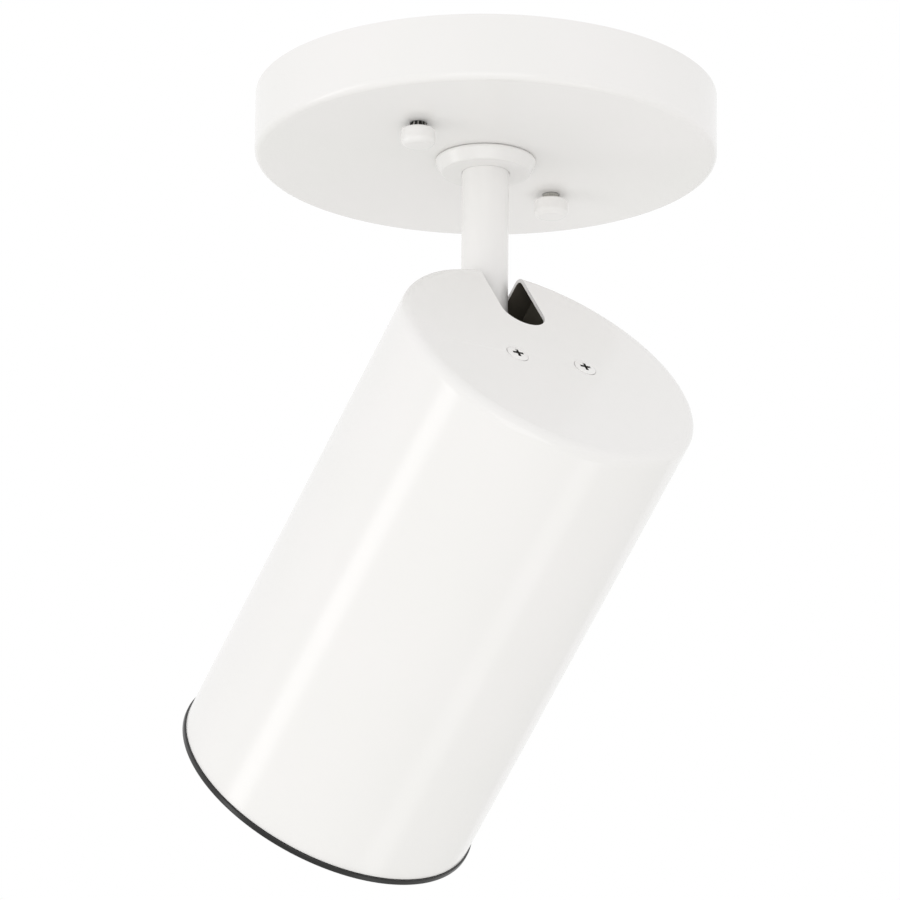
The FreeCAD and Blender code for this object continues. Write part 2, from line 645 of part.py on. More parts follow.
def pivot_spring_washer():
    """Conical washer that keeps the tilt stiff."""
    return across(cone_washer(PIVOT_SPRING_DIAMETER / 2, PIVOT_HOLE_RADIUS, EAR_OUTER,
                              PIVOT_SPRING_THICKNESS, PIVOT_SPRING_RISE))


def pivot_nut():
    """Self-locking nut with a plain collar."""
    low = EAR_OUTER + PIVOT_SPRING_THICKNESS + PIVOT_SPRING_RISE
    top = low + PIVOT_NUT_HEIGHT
    nut = hexagon(PIVOT_NUT_FLATS, low, top)
    nut = nut.fuse(disc(PIVOT_NUT_COLLAR_DIAMETER / 2, top, top + PIVOT_NUT_COLLAR))
    bore = disc(PIVOT_HOLE_RADIUS, low - OVERRUN, top + PIVOT_NUT_COLLAR + OVERRUN)
    return across(nut.cut(bore))


def socket_standoffs():
    """Tubular spacers between the bracket and the socket."""
    bore = CROWN_SCREW_DIAMETER / 2 + SCREW_HOLE_CLEARANCE
    low, high = head_level(SOCKET_TOP), head_level(BRACKET_UNDER)
    return group([ring(STANDOFF_DIAMETER / 2, bore, low, high, (x, HEAD_AXIS_Y))
                  for x in crown_screw_places()])


def socket_body():
    """Porcelain lamp holder: a narrow base that clears the swivel, then a wider cup."""
    base, wide = SOCKET_BASE_DIAMETER / 2, SOCKET_DIAMETER / 2
    shoulder = SOCKET_TOP + SOCKET_BASE_HEIGHT
    mouth = SOCKET_TOP + SOCKET_HEIGHT
    seat = SCREW_SHELL_SEAT_RADIUS
    body = head_lathe([(0, SOCKET_TOP), (base, SOCKET_TOP), (base, shoulder),
                       (wide, shoulder + SOCKET_FLARE), (wide, mouth), (seat, mouth),
                       (seat, SOCKET_FLOOR_DEPTH), (0, SOCKET_FLOOR_DEPTH)],
                      bevels={1: SOCKET_BEVEL, 4: SOCKET_BEVEL})
    for x in crown_screw_places():
        hole = head_disc(CROWN_SCREW_DIAMETER / 2 + THREAD_CLEARANCE, SOCKET_TOP - OVERRUN,
                         SOCKET_TOP + CROWN_SCREW_BITE + CROWN_SCREW_TIP_ROOM, x)
        body = body.cut(hole)
    return body


def socket_screw_shell():
    """Thin metal shell that the lamp's cap screws into."""
    top = SOCKET_FLOOR_DEPTH + SCREW_SHELL_INSET
    bottom = SOCKET_TOP + SOCKET_HEIGHT - SCREW_SHELL_INSET
    return ring(SCREW_SHELL_RADIUS, SCREW_SHELL_RADIUS - SCREW_SHELL_WALL, head_level(bottom),
                head_level(top), (0, HEAD_AXIS_Y))


def socket_contact():
    """Contact plate on the socket's floor."""
    return head_disc(CONTACT_DIAMETER / 2, SOCKET_FLOOR_DEPTH,
                     SOCKET_FLOOR_DEPTH + CONTACT_THICKNESS)


def lamp_cap():
    """Metal screw cap with a turned-in shoulder."""
    outer = LAMP_CAP_DIAMETER / 2
    top = LAMP_TIP + LAMP_TIP_HEIGHT + LAMP_INSULATOR_HEIGHT
    inner = outer - LAMP_CAP_WALL
    hole = LAMP_INSULATOR_DIAMETER / 2 + THREAD_CLEARANCE
    bottom = top + LAMP_CAP_LENGTH - LAMP_TIP_HEIGHT - LAMP_INSULATOR_HEIGHT
    return head_lathe([(hole, top), (outer, top), (outer, bottom), (inner, bottom),
                       (inner, top + LAMP_CAP_WALL), (hole, top + LAMP_CAP_WALL)],
                      bevels={1: LAMP_CAP_BEVEL})


def lamp_insulator():
    """Black glass insulator between the cap and its tip."""
    top = LAMP_TIP + LAMP_TIP_HEIGHT
    wide = LAMP_INSULATOR_DIAMETER / 2
    tip = LAMP_TIP_DIAMETER / 2
    bottom = top + LAMP_INSULATOR_HEIGHT + LAMP_CAP_WALL
    return head_lathe([(0, top), (tip, top), (wide, bottom - LAMP_CAP_WALL), (wide, bottom),
                       (0, bottom)])


def lamp_tip():
    """Solder contact at the lamp's end."""
    radius = LAMP_TIP_DIAMETER / 2
    return head_lathe([(0, LAMP_TIP), (radius, LAMP_TIP), (radius, LAMP_TIP + LAMP_TIP_HEIGHT),
                       (0, LAMP_TIP + LAMP_TIP_HEIGHT)], bevels={1: LAMP_TIP_BEVEL})


def lamp_profile(inset):
    """Half the bulb's outline as a face, drawn inset from its outer surface."""
    neck = LAMP_NECK_DIAMETER / 2 - inset
    wide = LAMP_DIAMETER / 2 - inset
    edge = wide - LAMP_FACE_INSET
    neck_start = LAMP_TIP + LAMP_CAP_LENGTH - LAMP_NECK_IN_CAP
    neck_end = LAMP_TIP + LAMP_CAP_LENGTH + LAMP_NECK_LENGTH
    face = LAMP_TIP + LAMP_LENGTH - inset
    rim = LAMP_TIP + LAMP_LENGTH - LAMP_DOME_RISE
    band = rim - LAMP_BAND
    dome_radius = (edge ** 2 + LAMP_FACE_DOME ** 2) / (2 * LAMP_FACE_DOME)
    dome_middle = face - dome_radius + math.sqrt(dome_radius ** 2 - (edge / 2) ** 2)
    flare_middle = neck + (wide - neck) * LAMP_FLARE_FULLNESS

    def at(radius, depth):
        return Vector(radius, 0, head_level(depth))

    corners = [at(0, neck_start), at(neck, neck_start), at(neck, neck_end), at(wide, band),
               at(wide, rim), at(edge, face - LAMP_FACE_DOME), at(0, face)]
    arcs = {2: at(flare_middle, (neck_end + band) / 2), 5: at(edge / 2, dome_middle)}
    edges = []
    for index, start in enumerate(corners):
        end = corners[(index + 1) % len(corners)]
        if index in arcs:
            edges.append(Part.Arc(start, arcs[index], end).toShape())
        else:
            edges.append(Part.LineSegment(start, end).toShape())
    return Part.Face(Part.Wire(edges))


def lamp_bulb():
    """Glass bulb: a neck in the cap, a flared reflector and a domed face."""
    axis = (0, HEAD_AXIS_Y)
    neck_start = LAMP_TIP + LAMP_CAP_LENGTH - LAMP_NECK_IN_CAP
    opening = head_disc(LAMP_NECK_DIAMETER / 2 - LAMP_GLASS, neck_start - OVERRUN,
                        neck_start + OVERRUN)
    hollow = turned(lamp_profile(LAMP_GLASS), axis).fuse(opening)
    return turned(lamp_profile(0), axis).cut(hollow)


def baffle():
    """Stepped black baffle: a lip under the shell, a spigot in its bore, rings above that
    narrow towards the lamp."""
    lip, mouth = SHELL_RADIUS + LIP_OVERHANG, SHELL_RADIUS - MOUTH_INSET
    top_ridge = LAMP_DIAMETER / 2 + BAFFLE_GAP_TO_LAMP
    taper = (mouth - top_ridge) / BAFFLE_STEPS
    aperture = SHELL_LENGTH + LIP_THICKNESS
    spigot = SHELL_BORE_RADIUS - SLIDE_CLEARANCE
    inner = [(mouth, aperture)]
    for step in range(BAFFLE_STEPS):
        ridge = mouth - step * taper
        depth = aperture - LIP_THICKNESS - step * BAFFLE_PITCH
        inner.append((ridge, depth))
        inner.append((ridge + BAFFLE_GROOVE, depth - BAFFLE_PITCH))
    top = SHELL_LENGTH - BAFFLE_STEPS * BAFFLE_PITCH
    skin = BAFFLE_GROOVE + BAFFLE_WALL
    outer = [(top_ridge, top), (top_ridge, top - BAFFLE_WALL),
             (top_ridge + skin, top - BAFFLE_WALL),
             (spigot - BAFFLE_SPIGOT_LEAD, SHELL_LENGTH - BAFFLE_SPIGOT - BAFFLE_WALL),
             (spigot, SHELL_LENGTH - BAFFLE_SPIGOT), (spigot, SHELL_LENGTH),
             (lip, SHELL_LENGTH), (lip, aperture)]
    points = inner + outer
    rounds = {0: LIP_ROUND, len(points) - 1: LIP_ROUND, len(points) - 2: LIP_SHOULDER_ROUND}
    return head_lathe(points, rounds)


# ---- Assembly
CANOPY_PIECES = [canopy_dish, crossbar, crossbar_studs, stud_locknuts, stud_washers, cap_nuts,
                 ground_screw, pan_friction_washer, pan_stop_pin]
STEM_PIECES = [stem_collar, stem_tube, stem_nipple, pan_stop_washer, pan_spring_washer,
               nipple_locknut, wire_bushing, swivel_knuckle]
HEAD_PIECES = [head_shell, crown_screws, pivot_bracket, pivot_bolt, pivot_friction_washers,
               pivot_spring_washer, pivot_nut, socket_standoffs, socket_body,
               socket_screw_shell, socket_contact, lamp_cap, lamp_insulator, lamp_tip,
               lamp_bulb, baffle]


def tilted(shape):
    """Turns a head piece about the pivot to the resting tilt."""
    shape.rotate(Vector(0, 0, PIVOT_LEVEL), Vector(1, 0, 0), REST_TILT)
    return shape


def export(maker, shape):
    """Writes one node's STEP file, named after the function that draws it."""
    shape.exportStep(os.path.join("parts", maker.__name__ + ".step"))


os.makedirs("parts", exist_ok=True)
for maker in CANOPY_PIECES + STEM_PIECES:
    export(maker, maker())
for maker in HEAD_PIECES:
    export(maker, tilted(maker()))
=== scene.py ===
"""Looks of a surface mounted ceiling spotlight, built round its packed construction.

Each sub-assembly is a class that models its visible pieces at the places the frame gives and
dresses them. Sizes are in millimetres, and are turned to metres where they meet the scene.
"""
import logging
import math
from collections.abc import Callable, Sequence
from dataclasses import dataclass, field
from enum import Enum

import bpy
from mathutils import Matrix, Vector


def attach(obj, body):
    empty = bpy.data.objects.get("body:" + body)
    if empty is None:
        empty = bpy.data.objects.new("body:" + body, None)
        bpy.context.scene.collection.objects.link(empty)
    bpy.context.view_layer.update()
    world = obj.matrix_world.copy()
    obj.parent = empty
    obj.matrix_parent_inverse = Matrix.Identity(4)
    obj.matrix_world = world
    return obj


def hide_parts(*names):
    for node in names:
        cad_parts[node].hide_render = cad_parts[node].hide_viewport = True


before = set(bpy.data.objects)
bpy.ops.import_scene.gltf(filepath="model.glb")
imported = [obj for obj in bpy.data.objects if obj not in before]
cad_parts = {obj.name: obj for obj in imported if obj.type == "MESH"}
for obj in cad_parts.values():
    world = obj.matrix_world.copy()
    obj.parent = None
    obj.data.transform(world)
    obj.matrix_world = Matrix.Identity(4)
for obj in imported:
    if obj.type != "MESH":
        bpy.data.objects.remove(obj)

LOG = logging.getLogger("ceiling_spotlight")
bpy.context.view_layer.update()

MM = 0.001
MERGE_DISTANCE = 1e-6
ROUND_STEPS = 6
SUPPORT_GAP = 0.25
SMOOTH_ANGLE = math.radians(32)
COPLANAR_ANGLE = math.radians(0.4)
FINE_STEPS = 256
PLAIN_STEPS = 128
DRILL_STEPS = 48
PAST = 1.0


class Body(Enum):
    """The rigid bodies that pieces ride on."""

    CANOPY = "canopy"
    STEM = "stem"
    HEAD = "head"


class Slot(Enum):
    """The record's material slots that modelled pieces take their finish from."""

    WHITE_PAINT = "white_paint"
    BLACK_PAINT = "black_paint"
    GREEN_PAINT = "green_paint"
    ZINC_STEEL = "zinc_steel"
    DIE_CAST = "die_cast"
    BRASS = "brass"
    LAMP_ALUMINIUM = "lamp_aluminium"
    PORCELAIN = "porcelain"
    LAMP_GLASS = "lamp_glass"
    RED_FIBRE = "red_fibre"
    BLACK_FIBRE = "black_fibre"
    BLACK_PLASTIC = "black_plastic"


# ---- Materials


def linear(hex_colour: str) -> tuple[float, float, float, float]:
    """Turns an sRGB hex colour to linear red, green, blue and alpha.

    Args:
        hex_colour: A colour such as "#F0F0EE".

    Returns:
        The linear colour with an alpha of 1.
    """
    channels = [int(hex_colour[i:i + 2], 16) / 255 for i in (1, 3, 5)]
    red, green, blue = (c / 12.92 if c <= 0.04045 else ((c + 0.055) / 1.055) ** 2.4
                        for c in channels)
    return red, green, blue, 1.0


def add_node(tree: bpy.types.NodeTree, kind: str, sockets: dict[str | int, object] | None = None,
             **settings: object) -> bpy.types.Node:
    """Adds one node with its settings, socket values and incoming links.

    Args:
        tree: The node tree to add to.
        kind: The node's type name.
        sockets: Values for its inputs. An output socket given as a value is linked.
        settings: Properties set on the node itself.

    Returns:
        The new node.
    """
    node = tree.nodes.new(kind)
    for name, value in settings.items():
        setattr(node, name, value)
    for socket, value in (sockets or {}).items():
        if isinstance(value, bpy.types.NodeSocket):
            tree.links.new(value, node.inputs[socket])
        else:
            node.inputs[socket].default_value = value
    return node


def per_metre(size_mm: float) -> float:
    """The scale of a pattern whose features are size_mm wide, on coordinates in metres."""
    return 1.0 / (size_mm * MM)


def empty_material(name: str) -> tuple[bpy.types.Material, bpy.types.NodeTree,
                                       bpy.types.NodeSocket]:
    """Makes a node material with nothing in it but its Object coordinates.

    Args:
        name: The finish's name.

    Returns:
        The material, its node tree and the coordinates' output.
    """
    material = bpy.data.materials.new(name)
    material.use_nodes = True
    tree = material.node_tree
    tree.nodes.clear()
    return material, tree, add_node(tree, "ShaderNodeTexCoord").outputs["Object"]


def noise(tree: bpy.types.NodeTree, place: bpy.types.NodeSocket, width_mm: float,
          detail: float) -> bpy.types.NodeSocket:
    """Adds a noise pattern with features of a real width.

    Args:
        tree: The material's node tree.
        place: The coordinates it reads.
        width_mm: The width of its features.
        detail: How many finer layers it has.

    Returns:
        The pattern's output.
    """
    return add_node(tree, "ShaderNodeTexNoise",
                    {"Vector": place, "Scale": per_metre(width_mm), "Detail": detail}).outputs[0]


def spread(tree: bpy.types.NodeTree, pattern: bpy.types.NodeSocket, low: float,
           high: float) -> bpy.types.NodeSocket:
    """Spreads a noise pattern's middle range over low to high.

    Args:
        tree: The material's node tree.
        pattern: The noise's output.
        low: The value at the pattern's dark end.
        high: The value at its bright end.

    Returns:
        The spread value's output.
    """
    return add_node(tree, "ShaderNodeMapRange",
                    {"Value": pattern, "From Min": 0.3, "From Max": 0.7, "To Min": low,
                     "To Max": high}).outputs[0]


def tinted(tree: bpy.types.NodeTree, pattern: bpy.types.NodeSocket, colour: str,
           shade: str) -> bpy.types.NodeSocket:
    """Mixes a finish's colour and its shade by a pattern.

    Args:
        tree: The material's node tree.
        pattern: The noise's output.
        colour: The hex colour at the pattern's dark end.
        shade: The hex colour at its bright end.

    Returns:
        The colour's output.
    """
    return add_node(tree, "ShaderNodeMix",
                    {0: spread(tree, pattern, 0.0, 1.0), 6: linear(colour), 7: linear(shade)},
                    data_type="RGBA").outputs[2]


def relief(tree: bpy.types.NodeTree, pattern: bpy.types.NodeSocket,
           height_mm: float) -> bpy.types.NodeSocket:
    """Turns a pattern to a bump of a real height.

    Args:
        tree: The material's node tree.
        pattern: The noise's output.
        height_mm: The bump's full height.

    Returns:
        The bump's normal.
    """
    return add_node(tree, "ShaderNodeBump",
                    {"Height": pattern, "Distance": height_mm * MM}).outputs["Normal"]


def finish_shader(tree: bpy.types.NodeTree, sockets: dict[str, object]) -> None:
    """Adds the surface shader and the material's output."""
    shader = add_node(tree, "ShaderNodeBsdfPrincipled", sockets)
    add_node(tree, "ShaderNodeOutputMaterial", {"Surface": shader.outputs["BSDF"]})


@dataclass(frozen=True)
class Coating:
    """A coat of paint that flowed out and set over metal.

    Its surface has a faint orange peel, and its gloss differs a little from place to place.
    """

    name: str
    colour: str
    shade: str
    roughness: float
    roughness_spread: float = 0.03
    peel_width_mm: float = 2.2
    peel_height_mm: float = 0.004
    cloud_width_mm: float = 45.0
    ior: float = 1.5
    specular: float = 0.5

    def material(self) -> bpy.types.Material:
        """Builds the coating's material.

        Returns:
            The material.
        """
        material, tree, place = empty_material(self.name)
        cloud = noise(tree, place, self.cloud_width_mm, 3.0)
        peel = noise(tree, place, self.peel_width_mm, 1.0)
        finish_shader(tree, {
            "Base Color": tinted(tree, cloud, self.colour, self.shade),
            "Roughness": spread(tree, cloud, self.roughness - self.roughness_spread,
                                self.roughness + self.roughness_spread),
            "IOR": self.ior, "Specular IOR Level": self.specular,
            "Normal": relief(tree, peel, self.peel_height_mm)})
        return material


@dataclass(frozen=True)
class Metal:
    """Bare or plated metal with a fine grain from its making and cloudy patches."""

    name: str
    colour: str
    shade: str
    roughness: float
    roughness_spread: float = 0.08
    grain_width_mm: float = 0.35
    grain_height_mm: float = 0.004
    grain_stretch: tuple[float, float, float] = (1.0, 1.0, 1.0)
    grain_turn: float = 0.0
    cloud_width_mm: float = 9.0

    def material(self) -> bpy.types.Material:
        """Builds the metal's material.

        Returns:
            The material.
        """
        material, tree, place = empty_material(self.name)
        along = add_node(tree, "ShaderNodeMapping",
                         {"Vector": place, "Rotation": (0.0, 0.0, -self.grain_turn),
                          "Scale": self.grain_stretch}).outputs["Vector"]
        grain = noise(tree, along, self.grain_width_mm, 2.0)
        cloud = noise(tree, place, self.cloud_width_mm, 4.0)
        finish_shader(tree, {
            "Base Color": tinted(tree, cloud, self.colour, self.shade), "Metallic": 1.0,
            "Roughness": spread(tree, cloud, self.roughness - self.roughness_spread,
                                self.roughness + self.roughness_spread),
            "Normal": relief(tree, grain, self.grain_height_mm)})
        return material


@dataclass(frozen=True)
class Pressed:
    """Pressed fibre or moulded plastic: a matt body with specks and a short grain."""

    name: str
    colour: str
    shade: str
    roughness: float
    speck_width_mm: float = 0.25
    grain_height_mm: float = 0.01
    ior: float = 1.5

    def material(self) -> bpy.types.Material:
        """Builds the pressed material.

        Returns:
            The material.
        """
        material, tree, place = empty_material(self.name)
        speck = noise(tree, place, self.speck_width_mm, 5.0)
        finish_shader(tree, {
            "Base Color": tinted(tree, speck, self.colour, self.shade), "IOR": self.ior,
            "Roughness": spread(tree, speck, self.roughness, self.roughness + 0.1),
            "Normal": relief(tree, speck, self.grain_height_mm)})
        return material


@dataclass(frozen=True)
class Vitreous:
    """Glass or glaze: a body colour under a smooth clear skin."""

    name: str
    colour: str
    shade: str
    body_roughness: float
    skin_roughness: float
    metallic: float = 0.0
    subsurface: float = 0.0
    ripple_width_mm: float = 12.0
    ripple_height_mm: float = 0.006
    etch_width_mm: float = 0.12

    def material(self) -> bpy.types.Material:
        """Builds the glass or glaze.

        Returns:
            The material.
        """
        material, tree, place = empty_material(self.name)
        ripple = noise(tree, place, self.ripple_width_mm, 1.0)
        etch = noise(tree, place, self.etch_width_mm, 2.0)
        surface = relief(tree, ripple, self.ripple_height_mm)
        finish_shader(tree, {
            "Base Color": tinted(tree, ripple, self.colour, self.shade),
            "Metallic": self.metallic,
            "Roughness": spread(tree, etch, self.body_roughness - 0.04,
                                self.body_roughness + 0.04),
            "Subsurface Weight": self.subsurface, "Subsurface Scale": 2.0 * MM,
            "Coat Weight": 1.0, "Coat Roughness": self.skin_roughness, "Normal": surface,
            "Coat Normal": surface})
        return material


Finish = Coating | Metal | Pressed | Vitreous

BAR_ANGLE = math.radians(24.9)

# Baked enamel over steel: a clean, faintly warm white that mirrors lamps as soft bands.
WHITE_ENAMEL = Coating("baked_white_enamel", "#F4F2F1", "#F2F1EF", roughness=0.18)
# Sprayed satin black: deep, with a narrow pale glint on its edges.
BLACK_ENAMEL = Coating("satin_black_enamel", "#0D0D0D", "#121211", roughness=0.3,
                       peel_width_mm=1.4)
# Painted shade on the shell's inside: dull dark brown-grey with little gloss, so the slot looks
# deep.
INSIDE_PAINTED_SHADE = Coating("inside_painted_shade", "#5A554C", "#625D53", roughness=0.85, peel_width_mm=0.8,
                      peel_height_mm=0.01, specular=0.08)
# Painted shade on the bracket, which shows in the slot: dull dark brown-grey with no glint.
BRACKET_PAINTED_SHADE = Coating("bracket_painted_shade", "#3D3A33", "#434038", roughness=0.8,
                          peel_width_mm=0.6, peel_height_mm=0.008, specular=0.08)
# Green lacquer on the earth screw, thin over steel.
GREEN_LACQUER = Coating("green_lacquer", "#1F6B3A", "#1A5A31", roughness=0.3, peel_width_mm=1.0)
# Bright zinc plate: blue-white, a little cloudy where it was tumbled.
ZINC_PLATE = Metal("bright_zinc_plate", "#CDD0D2", "#BBBEC0", roughness=0.3)
# Zinc plate on rolled strip: the rolling lines run along the crossbar.
ZINC_STRIP = Metal("zinc_plated_strip", "#C9CCCE", "#B6B9BC", roughness=0.34,
                   grain_width_mm=0.5, grain_stretch=(0.08, 1.0, 1.0), grain_turn=BAR_ANGLE)
# Painted shade in the screws' cross recesses: dull dark grey with little gloss, where shadow falls.
RECESS_PAINTED_SHADE = Coating("recess_painted_shade", "#3A3835", "#484643", roughness=0.7,
                          peel_width_mm=0.3, cloud_width_mm=1.5, specular=0.1)
# Zinc die casting, tumbled: greyer than plate and grainy.
DIE_CASTING = Metal("tumbled_die_casting", "#A4A6A8", "#8F9193", roughness=0.48,
                    grain_width_mm=0.6, grain_height_mm=0.012)
# Pressed brass: warm, with dull patches of tarnish.
PRESSED_BRASS = Metal("pressed_brass", "#D9B56A", "#B8934B", roughness=0.3)
# Rolled aluminium of a lamp cap: a soft grey shine.
ROLLED_ALUMINIUM = Metal("rolled_aluminium", "#D6D7D8", "#C6C7C8", roughness=0.28)
# Soft solder on the lamp's tip: dull and pitted.
SOFT_SOLDER = Metal("soft_solder", "#A9A9A6", "#8E8E8A", roughness=0.5, grain_height_mm=0.02)
# Glazed electrical porcelain: warm white under a thick clear glaze.
GLAZED_PORCELAIN = Vitreous("glazed_porcelain", "#EFE9DE", "#E9E2D4", 0.4, 0.06,
                            subsurface=0.15)
# Black pressed glass between a lamp's cap and its tip.
PRESSED_BLACK_GLASS = Vitreous("pressed_black_glass", "#0E0E12", "#131318", 0.25, 0.05)
# Bulb glass etched inside: milky, with the smooth outer skin's sharp glint over it.
ETCHED_GLASS = Vitreous("inside_etched_glass", "#F1EFEB", "#EAE8E3", 0.5, 0.03, subsurface=0.3)
# Bulb glass silvered inside: a slightly wavy mirror.
SILVERED_GLASS = Vitreous("inside_silvered_glass", "#D5D6D5", "#C9CAC9", 0.12, 0.03,
                          metallic=1.0, ripple_height_mm=0.02)
# Vulcanised fibre: dense brick red paper board.
RED_FIBRE_BOARD = Pressed("vulcanised_red_fibre", "#8A3A2A", "#74301F", 0.65)
# Black fibre of the toothed washers: dark, dull, short grain; also painted shade in the nut gap.
BLACK_FIBRE_AND_SHADE = Pressed("black_fibre_and_shade", "#24231F", "#12110F", 0.6, speck_width_mm=0.5)
# Pale grey fibre, painted light and shade: a soft shadow arc on one washer, highlight streaks on
# teeth.
PAINTED_LIGHT_SHADE_FIBRE = Pressed("painted_light_shade_fibre", "#CFCDC8", "#B9B7B1", 0.5, speck_width_mm=0.9)
# Moulded black nylon with a slight sheen.
BLACK_NYLON = Pressed("moulded_black_nylon", "#17171A", "#1E1E21", 0.4, speck_width_mm=0.6,
                      grain_height_mm=0.004, ior=1.53)

NODE_FINISH: dict[str, Finish] = {
    "canopy_dish": WHITE_ENAMEL, "crossbar": ZINC_STRIP, "crossbar_studs": ZINC_PLATE,
    # stud_washers take black fibre that is also painted shade in the gap over the nuts.
    "stud_locknuts": ZINC_PLATE, "stud_washers": BLACK_FIBRE_AND_SHADE, "cap_nuts": WHITE_ENAMEL,
    "ground_screw": GREEN_LACQUER, "pan_friction_washer": RED_FIBRE_BOARD,
    "pan_stop_pin": ZINC_PLATE, "stem_collar": WHITE_ENAMEL, "stem_tube": WHITE_ENAMEL,
    "stem_nipple": ZINC_PLATE, "pan_stop_washer": ZINC_PLATE, "pan_spring_washer": ZINC_PLATE,
    "nipple_locknut": ZINC_PLATE, "wire_bushing": BLACK_NYLON, "swivel_knuckle": DIE_CASTING,
    # pivot_bracket takes painted shade, so it reads as shadow in the slot.
    "head_shell": WHITE_ENAMEL, "crown_screws": WHITE_ENAMEL, "pivot_bracket": BRACKET_PAINTED_SHADE,
    "pivot_bolt": ZINC_PLATE, "pivot_friction_washers": RED_FIBRE_BOARD,
    "pivot_spring_washer": ZINC_PLATE, "pivot_nut": ZINC_PLATE, "socket_standoffs": ZINC_PLATE,
    "socket_body": GLAZED_PORCELAIN, "socket_screw_shell": PRESSED_BRASS,
    "socket_contact": PRESSED_BRASS, "lamp_cap": ROLLED_ALUMINIUM,
    "lamp_insulator": PRESSED_BLACK_GLASS, "lamp_tip": SOFT_SOLDER, "lamp_bulb": ETCHED_GLASS,
    "baffle": BLACK_ENAMEL,
}


def dress(piece: bpy.types.Object, *finishes: Finish) -> None:
    """Gives a piece its materials. Each finish's material is made once and shared.

    A list that is empty isn't cleared, because that would reset the faces' slots.

    Args:
        piece: The piece to dress.
        finishes: Its finishes, in the order of its material slots.
    """
    if piece.data.materials:
        piece.data.materials.clear()
    for finish in finishes:
        material = bpy.data.materials.get(finish.name) or finish.material()
        piece.data.materials.append(material)


# ---- Modelling helpers


@dataclass(frozen=True)
class Corner:
    """A corner of an outline in millimetres, with the radius that rounds it."""

    across: float
    level: float
    rounding: float = 0.0


Point = tuple[float, float]


def swept(centre: Vector, start: Vector, end: Vector, steps: int) -> list[Point]:
    """Points on the shorter arc about centre from start to end.

    Args:
        centre: The arc's centre.
        start: Its first point.
        end: Its last point.
        steps: How many spans it is cut into.

    Returns:
        steps + 1 points, both ends among them.
    """
    first, last = start - centre, end - centre
    begin = math.atan2(first.y, first.x)
    turn = (math.atan2(last.y, last.x) - begin + math.pi) % math.tau - math.pi
    return [(centre.x + first.length * math.cos(begin + turn * i / steps),
             centre.y + first.length * math.sin(begin + turn * i / steps))
            for i in range(steps + 1)]


def arc_through(start: Point, middle: Point, end: Point, steps: int) -> list[Point]:
    """Points on the arc from start through middle to end.

    Args:
        start: The arc's first point.
        middle: A point on it.
        end: Its last point.
        steps: How many spans it is cut into.

    Returns:
        steps + 1 points, both ends among them.
    """
    (ax, ay), (bx, by), (cx, cy) = start, middle, end
    a, b, c = ax * ax + ay * ay, bx * bx + by * by, cx * cx + cy * cy
    d = 2 * (ax * (by - cy) + bx * (cy - ay) + cx * (ay - by))
    centre = Vector(((a * (by - cy) + b * (cy - ay) + c * (ay - by)) / d,
                     (a * (cx - bx) + b * (ax - cx) + c * (bx - ax)) / d))
    return swept(centre, Vector(start), Vector(end), steps)


def rounded(corners: Sequence[Corner]) -> list[Point]:
    """Turns a closed outline's corners into points, with an arc at each rounded corner.

    A support point stands just before and after each arc, so that flat faces shade flat.

    Args:
        corners: The outline's corners in order.

    Returns:
        The outline's points.
    """
    points: list[Point] = []
    for index, corner in enumerate(corners):
        here = Vector((corner.across, corner.level))
        if not corner.rounding:
            points.append((here.x, here.y))
            continue
        before, after = corners[index - 1], corners[(index + 1) % len(corners)]
        back = (Vector((before.across, before.level)) - here).normalized()
        ahead = (Vector((after.across, after.level)) - here).normalized()
        half = back.angle(ahead) / 2
        reach = corner.rounding / math.tan(half)
        centre = here + (back + ahead).normalized() * (corner.rounding / math.sin(half))
        support = min(SUPPORT_GAP, corner.rounding * 0.3)
        points.append(tuple(here + back * (reach + support)))
        points += swept(centre, here + back * reach, here + ahead * reach, ROUND_STEPS)
        points.append(tuple(here + ahead * (reach + support)))
    return points


def select_only(*pieces: bpy.types.Object) -> None:
    """Selects only the given pieces and makes the first one active.

    Args:
        pieces: The pieces to select.
    """
    bpy.ops.object.select_all(action="DESELECT")
    for piece in pieces:
        piece.select_set(True)
    bpy.context.view_layer.objects.active = pieces[0]


def loop_of(name: str, points: Sequence[Vector], filled: bool = False) -> bpy.types.Object:
    """Makes a closed loop of edges through points.

    Args:
        name: The piece's name.
        points: The loop's points in millimetres.
        filled: Whether the loop holds a face.

    Returns:
        The loop's object.
    """
    bpy.ops.object.select_all(action="DESELECT")
    bpy.ops.mesh.primitive_circle_add(vertices=len(points),
                                      fill_type="NGON" if filled else "NOTHING")
    piece = bpy.context.object
    piece.name = piece.data.name = name
    for vertex, point in zip(piece.data.vertices, points):
        vertex.co = Vector(point) * MM
    return piece


def closed_up(piece: bpy.types.Object) -> None:
    """Merges a piece's doubled vertices, drops its loose ones and turns its faces outward.

    Args:
        piece: The piece to close up.
    """
    select_only(piece)
    bpy.ops.object.mode_set(mode="EDIT")
    bpy.ops.mesh.select_all(action="SELECT")
    bpy.ops.mesh.remove_doubles(threshold=MERGE_DISTANCE)
    bpy.ops.mesh.delete_loose(use_verts=True, use_edges=True, use_faces=False)
    bpy.ops.mesh.select_all(action="SELECT")
    bpy.ops.mesh.normals_make_consistent(inside=False)
    bpy.ops.object.mode_set(mode="OBJECT")


def smoothed(piece: bpy.types.Object) -> None:
    """Shades a piece smooth, apart from its sharp edges."""
    select_only(piece)
    bpy.ops.object.shade_smooth_by_angle(angle=SMOOTH_ANGLE, keep_sharp_edges=True)


